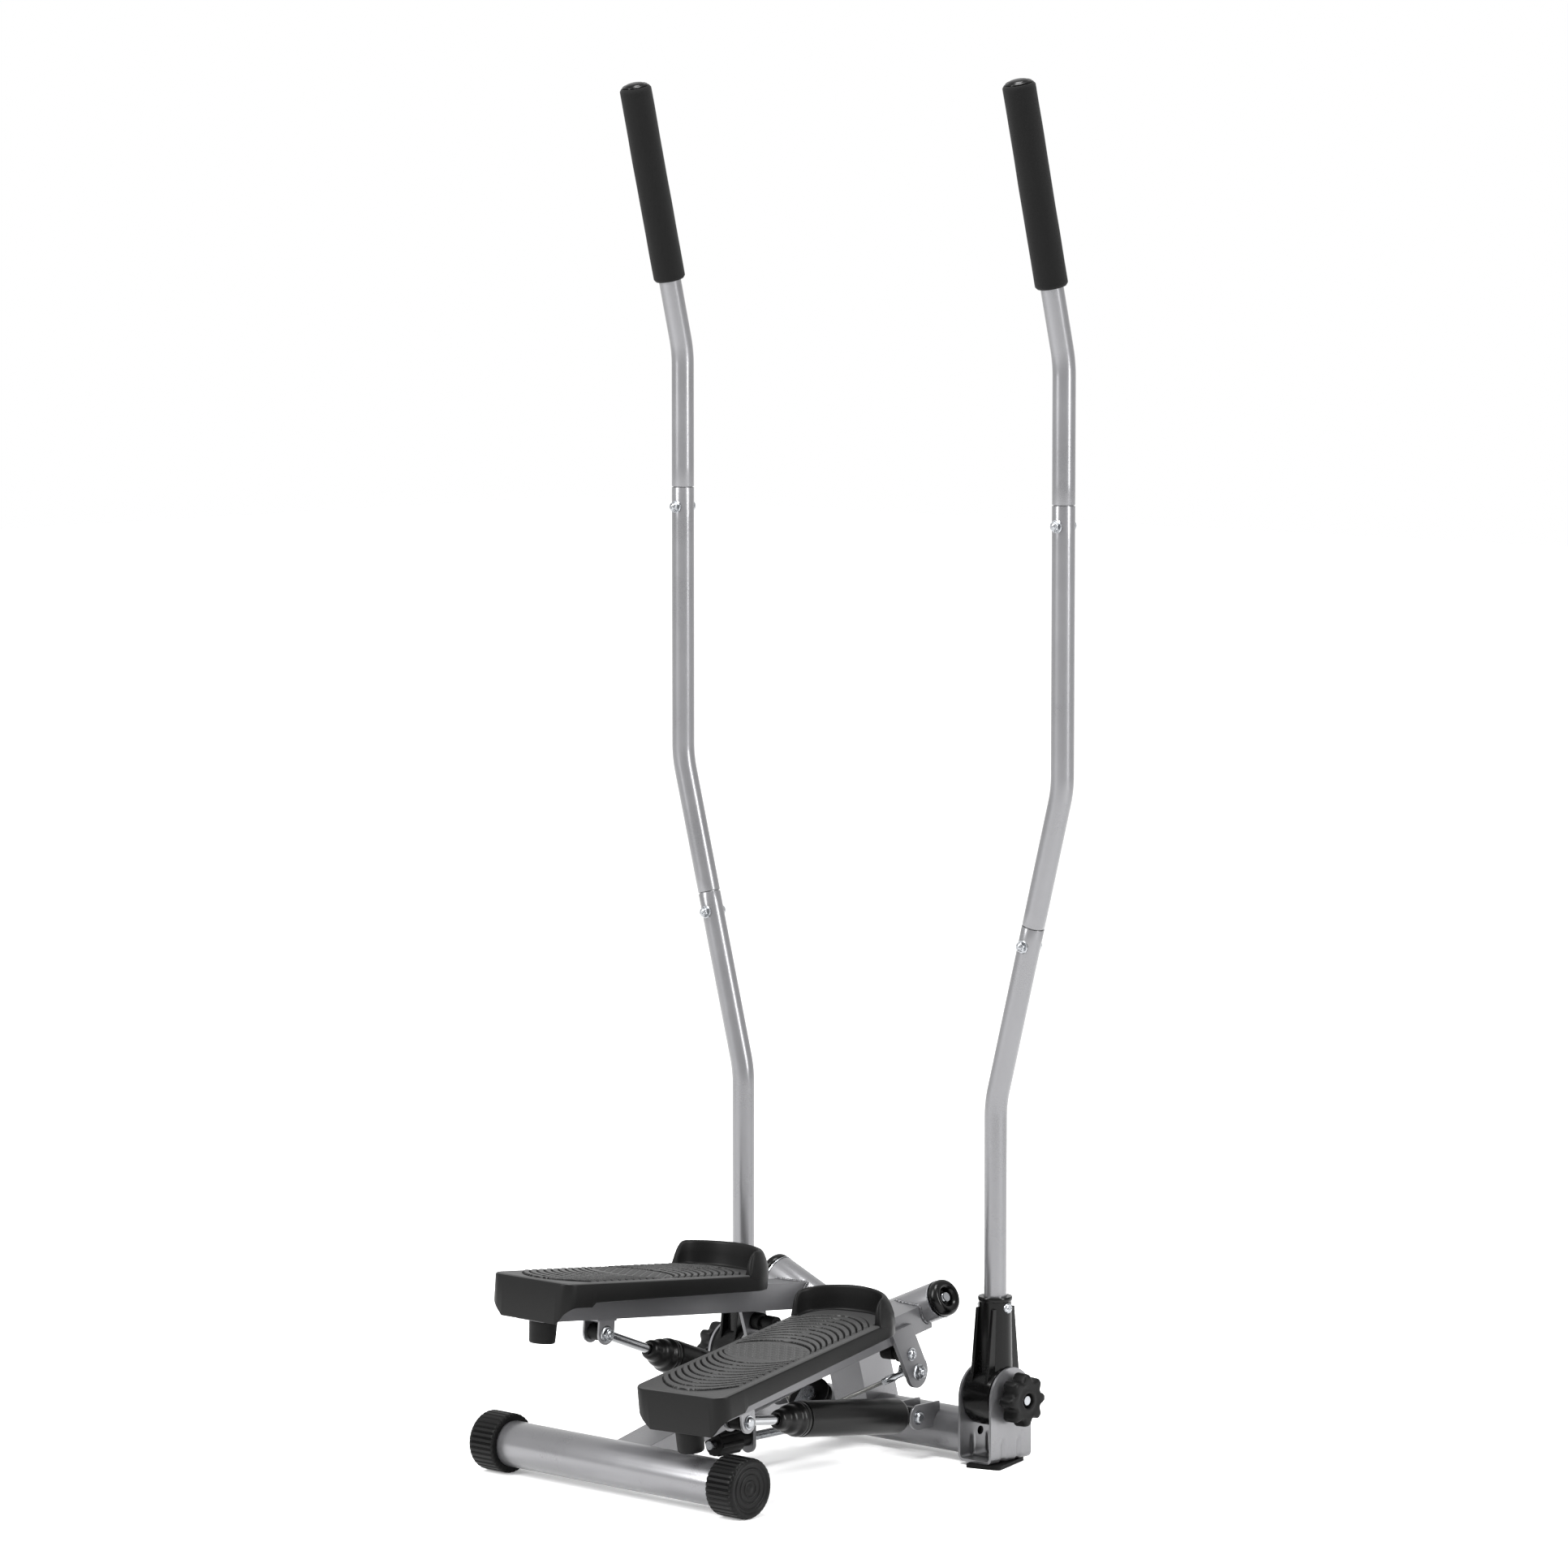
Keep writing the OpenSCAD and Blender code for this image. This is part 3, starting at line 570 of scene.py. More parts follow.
def toe_cup(s):
    pts = []
    y_end = 138.0
    for i in range(9):
        pts.append((HW, y_end + (151 - y_end) * i / 8, 1.0, 0.0))
    for i in range(1, 33):
        a = pi / 2 * i / 32
        pts.append((HW - RT + RT * cos(a), YT - RT + RT * sin(a), cos(a), sin(a)))
    for i in range(1, 13):
        pts.append((HW - RT - 2 * (HW - RT) * i / 12, YT, 0.0, 1.0))
    for i in range(1, 33):
        a = pi / 2 + pi / 2 * i / 32
        pts.append((-HW + RT + RT * cos(a), YT - RT + RT * sin(a), cos(a), sin(a)))
    for i in range(1, 9):
        pts.append((-HW, 151 + (y_end - 151) * i / 8, -1.0, 0.0))
    d = [0.0]
    for i in range(1, len(pts)):
        d.append(d[-1] + math.hypot(pts[i][0] - pts[i - 1][0], pts[i][1] - pts[i - 1][1]))
    L = d[-1]
    # close the spacing up near the ends, where the wall rises
    want = []
    for i in range(13):
        want.append(17.0 * (i / 12) ** 1.7)
    m = 70
    for i in range(1, m):
        want.append(17 + (L - 34) * i / m)
    want += [L - w for w in reversed(want[:13])]
    rings = []
    for w in want:
        j = max(0, min(len(d) - 2, int(np.searchsorted(d, w)) - 1))
        f = (w - d[j]) / max(1e-9, d[j + 1] - d[j])
        x, y, nx, ny = [pts[j][q] + (pts[j + 1][q] - pts[j][q]) * f for q in range(4)]
        th = math.atan2(y - y_end, x)
        ca, sa = abs(cos(th)) / 53.2, abs(sin(th)) / 40.0
        ri = (ca ** 2.5 + sa ** 2.5) ** (-1 / 2.5)
        ix, iy = ri * cos(th), y_end + ri * sin(th)
        t = math.hypot(x - ix, y - iy)
        nx, ny = (x - ix) / t, (y - iy) / t
        e = min(w, L - w)
        H = 28.0 * math.sqrt(max(0.0, 1 - (1 - min(1, e / 17)) ** 2.6)) + 0.6
        # slightly lower at the ends than over the toe
        H -= 2.6 * (1 - min(1, e / 90)) * (H / 28)
        sec = [(t + 3.2, 0.0), (t + 1.2, 0.25), (t + 0.35, 1.2), (t, 3.0), (t - 0.35, 0.5 * 28), (t - 0.8, 24.5), (t - 1.2, 26.6), (t - 2.0, 27.6), (t - 3.0, 28.0),
               (t - 4.0, 27.7)]
        for q in range(1, 10):
            a = pi / 2 * q / 9
            u_ = q / 9
            sec.append(((t - 4.3) * (1 - u_) ** 1.12 - 0.25 * u_, 3.5 + 23.4 * (1 - u_ ** 1.75)))
        sec += [(-0.25, 1.0), (-0.25, -6.0), (1.2, -6.4), (t, -4.0)]
        ring = []
        for dd, z in sec:
            zz = z * H / 28 if z > 0 else z * min(1.0, 0.25 + e / 17)
            ring.append((x - nx * dd, y - ny * dd, zz))
        rings.append(ring)
    sh = Shape()
    sh.loft(rings, ped(s))
    return sh.obj("toe_cup_" + side(s), "skirt_plastic", side(s) + "_pedal", slot="tread_plastic", angle=60)


for s in (1, -1):
    footplate(s)
    toe_cup(s)

# ------------------------------------------------------------------ heel bumpers
for s in (1, -1):
    sh = Shape()
    sh.revolve([(0, -0.0), (12.2, 0.0), (13.7, 0.5), (14.5, 1.8), (14.9, 10), (15.3, 19.5), (15.5, 20), (15.5, 24.5), (0, 24.5)],
               ped(s) @ T(-4, -127, -71.5), 64)
    sh.obj("rubber_bumper_" + side(s), "black_rubber", side(s) + "_pedal", ["heel_bumper_" + side(s)], angle=40)

# ------------------------------------------------------------------ foam grips and plugs
for s in (1, -1):
    n, rows = 72, 90
    m = lever(s) @ SEG_D @ T(0, 0, TOP - 224)
    rings = []
    for j in range(rows + 1):
        z = 224 * j / rows
        e = min(z, 224 - z)
        r = 18.25 - 1.9 * max(0.0, 1 - e / 3.2) ** 2
        ring = []
        for i in range(n):
            a = 2 * pi * i / n
            wob = 0.09 * sin(3 * a + z / 31) + 0.07 * sin(5 * a - z / 17 + 1.3) + 0.05 * sin(z / 9 + 2 * a)
            rr = r - 0.15 + wob
            ring.append((rr * cos(a), rr * sin(a), z))
        rings.append(ring)
    core = 12.75
    first = [(core * cos(2 * pi * i / n), core * sin(2 * pi * i / n), 0) for i in range(n)]
    last = [(core * cos(2 * pi * i / n), core * sin(2 * pi * i / n), 224) for i in range(n)]
    rings = [first] + rings + [last]
    sh = Shape()
    vs = [p for r in rings for p in r]
    fs = []
    k = len(rings)
    for j in range(k):
        for i in range(n):
            a, b = j * n + i, j * n + (i + 1) % n
            c, d = ((j + 1) % k) * n + (i + 1) % n, ((j + 1) % k) * n + i
            fs.append((a, b, c, d))
    sh.add(vs, fs, m)
    g = sh.obj("grip_" + side(s), "foam", side(s) + "_handle", ["foam_grip_" + side(s)], angle=50)

    sh = Shape()
    sh.revolve([(0, -22), (10.4, -22), (11, -20), (11.1, -2.9), (11.1, -2.8), (12.6, -2.8), (12.6, 0.15), (14.6, 0.15), (14.9, 0.9), (14.3, 1.9), (12.9, 2.6), (12.2, 2.3),
                (11.6, 2.2), (10.9, 3.0), (9, 4.0), (6, 4.7), (3, 4.95), (0, 5.0)], lever(s) @ SEG_D @ T(0, 0, TOP), 56)
    sh.obj("domed_plug_" + side(s), "gloss_black_plastic", side(s) + "_handle", ["grip_plug_" + side(s)], angle=40)

# ------------------------------------------------------------------ lever tubes


def arc(p, a0, a1, n, fn):
    return [fn(a0 + (a1 - a0) * i / n) for i in range(n + 1)]


for s in (1, -1):
    body = side(s) + "_handle"
    up = lambda z: z - PIV.z
    m = lever(s)
    # lower tube
    pts = [Vector((0, 0, up(104) + (Z1 - T1 - 104) * i / 12)) for i in range(13)]
    for i in range(1, 17):
        a = RAD(FL) * i / 16
        pts.append(Vector((BR - BR * cos(a), 0, up(Z1 - T1) + BR * sin(a))))
    e0 = SEG_B @ Vector((0, 0, T1))
    e1 = SEG_B @ Vector((0, 0, SJ1))
    pts += [e0 + (e1 - e0) * i / 8 for i in range(1, 8)]
    ax = (e1 - e0).normalized()
    pts += [e1 - ax * 0.5, e1 - ax * 0.2, e1]
    rad = [12.7] * (len(pts) - 2) + [12.55, 12.1]
    sh = Shape()
    sh.sweep(pts, rad, 56, m)
    sh.obj("visual_lower_tube_" + side(s), "silver_paint", body, ["lower_tube_" + side(s)])
    # middle tube
    pts, rad = [], []
    for w, r in ((SJ1 - 20, 11.0), (SJ1 + 0.9, 11.0), (SJ1 + 0.91, 12.1), (SJ1 + 1.2, 12.55), (SJ1 + 1.7, 12.7)):
        pts.append(SEG_B @ Vector((0, 0, w)))
        rad.append(r)
    for i in range(1, 9):
        pts.append(SEG_B @ Vector((0, 0, SJ1 + 1.7 + (LB - T1 - SJ1 - 1.7) * i / 8)))
        rad.append(12.7)
    for i in range(1, 17):
        a = RAD(FL) * (1 - i / 16)
        pts.append(SEG_C @ Vector((-BR + BR * cos(a), 0, T1 - BR * sin(a))))
        rad.append(12.7)
    for i in range(1, 9):
        pts.append(SEG_C @ Vector((0, 0, T1 + (ZJ2 - Z2 - T1 - 0.6) * i / 8)))
        rad.append(12.7)
    pts += [SEG_C @ Vector((0, 0, ZJ2 - Z2 - 0.2)), SEG_C @ Vector((0, 0, ZJ2 - Z2))]
    rad += [12.55, 12.1]
    sh = Shape()
    sh.sweep(pts, rad, 56, m)
    sh.obj("visual_middle_tube_" + side(s), "silver_paint", body, ["middle_tube_" + side(s)])
    # upper tube
    pts, rad = [], []
    for w, r in ((-20, 11.0), (0.9, 11.0), (0.91, 12.1), (1.2, 12.55), (1.7, 12.7)):
        pts.append(SEG_C @ Vector((0, 0, ZJ2 - Z2 + w)))
        rad.append(r)
    for i in range(1, 7):
        pts.append(SEG_C @ Vector((0, 0, ZJ2 - Z2 + 1.7 + (Z3 - ZJ2 - T3 - 1.7) * i / 6)))
        rad.append(12.7)
    for i in range(1, 17):
        a = RAD(LEAN) * i / 16
        pts.append(SEG_C @ Vector((0, -BR + BR * cos(a), Z3 - Z2 - T3 + BR * sin(a))))
        rad.append(12.7)
    for i in range(1, 9):
        pts.append(SEG_D @ Vector((0, 0, T3 + (TOP - 3 - T3) * i / 8)))
        rad.append(12.7)
    sh = Shape()
    sh.sweep(pts, rad, 56, m)
    sh.obj("visual_upper_tube_" + side(s), "silver_paint", body, ["upper_tube_" + side(s)])
    # bolts through the joints: screw dome in front, nut and stud behind
    sh = Shape()
    for jm in (SEG_B @ T(0, 0, SJ1 - 22), SEG_C @ T(0, 0, ZJ2 - Z2 - 22)):
        sh.revolve([(0, -12.8), (3, -12.8), (3, 12.8), (0, 12.8)], m @ jm @ R(-90, "X"), 24)
        # cupped washers that sit round the tube
        for sg in (90, -90):
            sh.revolve([(0, 11.4), (7.4, 11.2), (7.6, 12.2), (6.9, 13.1), (0, 13.3)], m @ jm @ R(-sg, "X"), 40)
        nut(sh, m @ jm @ R(90, "X") @ T(0, 0, 12.9), af=10, h=4.6, stud=2.2, r=3.0, flange=False)
        button(sh, m @ jm @ R(-90, "X") @ T(0, 0, 13.2), r=6.2, h=3.4, hexs=2.6)
    bm_ = m @ T(0, 0, 175 - PIV.z)
    sh.revolve([(0, -19), (3, -19), (3, 19), (0, 19)], bm_ @ along_x(), 24)
    pan(sh, bm_ @ along_x() @ T(0, 0, 17.9), r=6.0, h=3.6)
    nut(sh, bm_ @ R(-90, "Y") @ T(0, 0, 17.9), af=10, h=4.2, stud=1.6, r=3.0)
    sh.obj("lever_hardware_" + side(s), "zinc_steel", body, ["handle_bolts_" + side(s)], angle=40)

# ------------------------------------------------------------------ hubs, brackets, star knobs
for s in (1, -1):
    m = lever(s)
    body = side(s) + "_handle"
    sh = Shape()
    # disc with a shallow groove pattern round its rim
    prof = [(0, -19), (31.8, -19), (33.1, -18.3), (33.5, -17.2), (33.5, 17.2), (33.1, 18.3), (31.8, 19), (0, 19)]
    n = 120
    rings = []
    for r, z in prof:
        rings.append([(max(r, 0.01) * cos(2 * pi * i / n) * (1 - (0.006 if (i // 3) % 2 and abs(z) < 18 else 0)),
                       max(r, 0.01) * sin(2 * pi * i / n) * (1 - (0.006 if (i // 3) % 2 and abs(z) < 18 else 0)), z) for i in range(n)])
    sh.loft(rings, m @ along_x())
    # tapered socket with a lip
    sh.revolve([(0, 8), (20.0, 8), (19.9, 23), (18.2, 104), (18.1, 106.2), (18.9, 107.2), (19.2, 108.6), (19.2, 111.0), (18.6, 111.8), (13.2, 111.8), (13.2, 108), (0, 108)], m, 64)
    sh.obj("lever_socket_" + side(s), "gloss_black_plastic", body, ["handle_hub_" + side(s)], angle=40)
    sh = Shape()
    for x in (-13, 9):
        sh.prism([(-30, 12), (30, 12), (26, 30), (18.2, 100), (-18.2, 100), (-26, 30)], x, x + 4, m @ Matrix(((0, 0, 1, 0), (1, 0, 0, 0), (0, 1, 0, 0), (0, 0, 0, 1))))
    sh.prism([(-18.9, 20), (18.9, 20), (18.9, 34), (17.6, 96), (-17.6, 96), (-18.9, 34)], -2, 2, m @ Matrix(((1, 0, 0, 0), (0, 0, -1, 0), (0, 1, 0, 0), (0, 0, 0, 1))))
    sh.obj("socket_ribs_" + side(s), "gloss_black_plastic", body, bevel=0.9)

    # pressed U bracket
    rb = 7.0
    path = []
    for i in range(41):
        path.append((-24.0, PIV.z + 34 * cos(pi / 2 * i / 40), -1, 0))
    for i in range(1, 25):
        path.append((-24.0, PIV.z + (4 + rb - PIV.z) * i / 24, -1, 0))
    for i in range(1, 9):
        a = pi / 2 * i / 8
        path.append((-24 + rb - rb * cos(a), 4 + rb - rb * sin(a), -cos(a), -sin(a)))
    for i in range(1, 17):
        path.append((-24 + rb + (48 - 2 * rb) * i / 16, 4, 0, -1))
    for i in range(1, 9):
        a = pi / 2 * i / 8
        path.append((24 - rb + rb * sin(a), 4 + rb - rb * cos(a), sin(a), -cos(a)))
    for i in range(1, 25):
        path.append((24.0, 4 + rb + (PIV.z - 4 - rb) * i / 24, 1, 0))
    for i in range(1, 41):
        path.append((24.0, PIV.z + 34 * sin(pi / 2 * i / 40), 1, 0))
    nt_ = 69
    verts, faces = [], []
    for layer in (0, 1):
        for (x, z, nx, nz) in path:
            w = 34.0 if z <= PIV.z else math.sqrt(max(0.02, 34.0 ** 2 - (z - PIV.z) ** 2))
            for j in range(nt_):
                y = w * (2 * j / (nt_ - 1) - 1)
                emb = 0.0
                if z < 34:
                    for yc in (-13.0, 13.0):
                        emb += math.exp(-((y - yc) / 3.4) ** 4) * (1 - float(smooth(24, 33, z)))
                off = -1.5 * emb - (3.0 if layer else 0.0)
                verts.append((x + nx * off, y, z + nz * off - PIV.z))
    L = len(path)
    for layer in (0, 1):
        for i in range(L - 1):
            for j in range(nt_ - 1):
                a = layer * L * nt_ + i * nt_ + j
                q = (a, a + 1, a + 1 + nt_, a + nt_)
                faces.append(q if layer else tuple(reversed(q)))
    for i in range(L - 1):
        for j, rv in ((0, False), (nt_ - 1, True)):
            a, b = i * nt_ + j, (i + 1) * nt_ + j
            c, d = L * nt_ + b, L * nt_ + a
            faces.append((a, b, c, d) if rv else (d, c, b, a))
    for i in (0, L - 1):
        for j in range(nt_ - 1):
            a, b = i * nt_ + j, i * nt_ + j + 1
            c, d = L * nt_ + b, L * nt_ + a
            faces.append((a, b, c, d))
    sh = Shape()
    sh.add(verts, faces, m)
    br = sh.obj("pressed_bracket_" + side(s), "silver_paint", "base", ["handle_bracket_" + side(s)], angle=40)
    # the open hole low in the inner plate
    ct = Shape()
    ct.revolve([(0, -12), (5, -12), (5, 12), (0, 12)], m @ T(-24, 0, 33.2 - PIV.z) @ along_x(), 32)
    cme = bpy.data.meshes.new("cut")
    cme.from_pydata([(x * 0.001, y * 0.001, z * 0.001) for x, y, z in ct.v], [], ct.f)
    cut = bpy.data.objects.new("cut", cme)
    SCN.collection.objects.link(cut)
    bo = br.modifiers.new("hole", "BOOLEAN")
    bo.operation = "DIFFERENCE"
    bo.solver = "EXACT"
    bo.object = cut
    bpy.context.view_layer.update()
    dg = bpy.context.evaluated_depsgraph_get()
    new = bpy.data.meshes.new_from_object(br.evaluated_get(dg))
    br.modifiers.clear()
    old = br.data
    br.data = new
    bpy.data.objects.remove(cut)
    bpy.data.meshes.remove(old)
    br.data.shade_smooth()
    br.data.set_sharp_from_angle(angle=RAD(40))
    if not br.data.materials:
        br.data.materials.append(M["silver_paint"])

    # star knob
    n = 192

    def lobes(a, k):
        ph = abs(((a + pi / 8) % (pi / 4)) - pi / 8) * 180 / pi
        w = min(1.0, max(0.0, (ph - 2.5) / 17.5))
        return k * (23.6 + 6.4 * (0.5 + 0.5 * cos(pi * w)))
    kn = [(25, 15.5, 0), (25.6, 16.2, 0), (29.6, 16.8, 0), (30.0, 18, 0), (30.4, 0.90, 1), (31.6, 0.97, 1), (33.5, 1.0, 1), (44.6, 0.985, 1), (47.4, 0.965, 1),
          (48.9, 0.925, 1), (49.7, 0.87, 1), (49.9, 0.80, 1), (49.6, 17.5, 0), (49.2, 14.5, 0), (49.5, 11.6, 0), (49.7, 10.2, 0), (49.4, 9.0, 0), (48.6, 8.4, 0), (43.0, 8.0, 0), (43.0, 0.02, 0)]
    rings = []
    for x, r, star in kn:
        ring = []
        for i in range(n):
            a = 2 * pi * i / n + pi / 8
            q = lobes(a, r) if star else r
            ring.append((q * cos(a), q * sin(a), x))
        rings.append(ring)
    sh = Shape()
    sh.loft(rings, m @ along_x())
    sh.obj("lobed_knob_" + side(s), "black_plastic", side(s) + "_knob", ["star_knob_" + side(s)], angle=45)

# ------------------------------------------------------------------ rear caps
NR = 34


def cap(s):
    n = NR * 8
    m = T(0, Y0, 0) @ flip(s) @ T(198.5 - 38, -210, 33) @ along_x()
    prof = []
    body = [(0.0, 31.0), (0.5, 32.1), (1.6, 32.8)]
    for z, r in body:
        prof.append((r, z, 0.5))
    for z in (2.4, 4, 16, 30, 33.0):
        prof.append((33.0, z, 1.0))
    prof += [(32.7, 34.4, 0.8), (31.9, 35.8, 0.35), (30.7, 36.9, 0.0), (29.3, 37.5, 0.0), (27.8, 37.6, 0), (26.6, 37.2, 0), (25.8, 36.2, 0), (25.0, 36.0, 0)]
    for a, b, c in ((22.6, 21.4, 0.9), (15.8, 14.6, 0.9), (9.2, 8.0, 0.9)):
        prof += [(a + 0.7, 36.0, 0), (a + 0.1, 36.7, 0), ((a + b) / 2, 36.95, 0), (b - 0.1, 36.7, 0), (b - 0.7, 36.0, 0)]
    prof += [(4.4, 36.0, 0), (3.6, 36.6, 0), (0.01, 36.8, 0)]
    rings = []
    for r, z, g in prof:
        ring = []
        for i in range(n):
            ph = (i % 8) / 8.0
            # wide rib with a narrow groove
            dip = 1.7 * math.exp(-(((ph if ph < 0.5 else ph - 1)) / 0.17) ** 4)
            q = r - dip * g
            a = 2 * pi * i / n
            ring.append((q * cos(a), q * sin(a), z))
        rings.append(ring)
    # open bore towards the tube
    inner = [(25.45, 29.0), (25.45, 0.0)]
    vs = [p for r in rings for p in r]
    fs = []
    for j in range(len(rings) - 1):
        for i in range(n):
            a, b = j * n + i, j * n + (i + 1) % n
            fs.append((a, b, b + n, a + n))
    fs.append(tuple(range((len(rings) - 1) * n, len(rings) * n)))
    k0 = len(vs)
    for r, z in ((25.45, 0.0), (25.45, 29.0)):
        vs += [(r * cos(2 * pi * i / n), r * sin(2 * pi * i / n), z) for i in range(n)]
    for i in range(n):
        i2 = (i + 1) % n
        fs.append((i2, i, k0 + i, k0 + i2))
        fs.append((k0 + i2, k0 + i, k0 + n + i, k0 + n + i2))
    fs.append(tuple(k0 + n + i for i in reversed(range(n))))
    sh = Shape()
    sh.add(vs, fs, m)
    return sh


for s in (1, -1):
    c = cap(s)
    c.obj("ribbed_cap_" + side(s), "black_plastic", "base", ["rear_caps"], angle=38)

# ------------------------------------------------------------------ axle caps
for s in (1, -1):
    sh = Shape()
    prof = [(0, 1.8), (19.2, 1.8), (20.2, 2.6), (20.9, 4.2), (20.9, 6.2)]
    for i in range(1, 13):
        a = RAD(180 * i / 12)
        prof.append((15.0 + 5.9 * cos(a) * 1.0, 6.4 + 7.4 * sin(a)))
    prof += [(8.8, 6.0), (0, 6.0)]
    sh.revolve(prof, axle(s), 72)
    sh.obj("domed_cap_" + side(s), "gloss_black_plastic", "base", ["axle_caps"], angle=50)
    sh = Shape()
    button(sh, axle(s) @ T(0, 0, 6.0), r=6.6, h=4.4, hexs=2.8)
    sh.obj("cap_screw_" + side(s), "zinc_steel", "base", angle=40, slot="zinc_steel")

# ------------------------------------------------------------------ hydraulic cylinders
for s in (1, -1):
    m = cyl(s)
    sh = Shape()
    sh.revolve([(0, 16.5), (11, 16.5), (14.6, 16.9), (17.2, 18.2), (19.1, 20.6), (19.9, 23.4), (20, 25), (20, 184.4), (19.6, 185.6), (18.8, 186), (0, 186)], m, 80)
    sh.obj("barrel_shell_" + side(s), "black_paint", side(s) + "_cylinder", ["cylinder_barrel_" + side(s)], angle=40)
    sh = Shape()
    sh.ring([(5.0, -12), (10.4, -12), (11, -11.4), (11, 11.4), (10.4, 12), (5.0, 12)], m @ along_x(), 48)
    sh.loft([[(-10.6, -7.4, 8), (10.6, -7.4, 8), (10.6, 7.4, 8), (-10.6, 7.4, 8)], [(-10.6, -7.4, 19), (10.6, -7.4, 19), (10.6, 7.4, 19), (-10.6, 7.4, 19)]], m)
    sh.obj("barrel_eye_" + side(s), "black_paint", side(s) + "_cylinder", slot="black_paint", angle=40)
    sh = Shape()
    prof = [(0, 180), (18.4, 180), (18.4, 186.4), (19.1, 187.0), (19.5, 188.2), (19.5, 191.2), (18.9, 191.9), (18.9, 192.7), (19.4, 193.4), (19.3, 195.6), (18.5, 197.6),
            (17.1, 199.2), (16.4, 200.4), (16.2, 202.4), (16.1, 206.6), (15.5, 209.4), (14.1, 211.6), (12.5, 212.9), (11.8, 214.2), (11.6, 220.2),
            (11.0, 223.6), (9.6, 226.2), (7.6, 227.0), (6.0, 226.6), (5.6, 224), (0, 224)]
    sh.revolve(prof, m, 72)
    sh.obj("stepped_neck_" + side(s), "black_paint", side(s) + "_cylinder", ["cylinder_neck_" + side(s)], angle=40)
    e = m @ T(0, 0, 302.9 - s * 13.9)
    sh = Shape()
    sh.revolve([(0, -233), (16, -233), (16, -223), (5.5, -223), (5.5, -12), (0, -12)], e, 48)
    sh.obj("chrome_rod_" + side(s), "chrome_rod", side(s) + "_rod", ["piston_rod_" + side(s)], angle=40)
    sh = Shape()
    sh.ring([(6.2, -8), (8.9, -8), (9.5, -7.4), (9.5, 7.4), (8.9, 8), (6.2, 8)], e @ R(3.7, "Y") @ along_x(), 48)
    sh.revolve([(0, -15), (6.2, -15), (7, -14.2), (7, -7), (0, -7)], e, 40)
    sh.obj("rod_eye_" + side(s), "black_rubber", side(s) + "_rod", slot="black_rubber", angle=40)
    # pin hardware of the front lug
    sh = Shape()
    pm = T(0, Y0, 0) @ flip(s) @ T(*F) @ along_x()
    sh.revolve([(0, -16.4), (4, -16.4), (4, 16.2), (0, 16.2)], pm, 28)
    sh.revolve([(0, 16.1), (7.9, 16.1), (7.9, 17.0), (0, 17.0)], pm, 48)
    button(sh, pm @ T(0, 0, 16.9), r=6.4, h=3.6, hexs=2.9)
    nut(sh, pm @ R(180, "X") @ T(0, 0, 16.2), af=13, h=6.4, stud=2.6, r=4)
    sh.obj("front_pin_set_" + side(s), "zinc_steel", "base", ["cylinder_bolts"], angle=40)

# ------------------------------------------------------------------ bolts of the pedals


def rotated(p, deg):
    return Matrix.Rotation(RAD(deg), 3, U) @ p


def pedal_point(q, s):
    a = Vector((q[0], q[1] * cos(RAD(0.8)) - q[2] * sin(RAD(0.8)), q[1] * sin(RAD(0.8)) + q[2] * cos(RAD(0.8))))
    b = Vector((103.35, -109.15, 185.5)) + Vector((a.x * cos(RAD(3)) - a.y * sin(RAD(3)), a.x * sin(RAD(3)) + a.y * cos(RAD(3)), a.z))
    p = C + rotated(b - C, s * HALF)
    return Vector((s * p.x, p.y + Y0, p.z))


PW = Vector((0, 100 + Y0, 60))
WR, WRAP, TILT = 23.6, 48.7, 46.2


def on_wheel(a, r=WR):
    return PW + Vector((r * cos(RAD(a)), r * sin(RAD(a)) * cos(RAD(TILT)), r * sin(RAD(a)) * sin(RAD(TILT))))


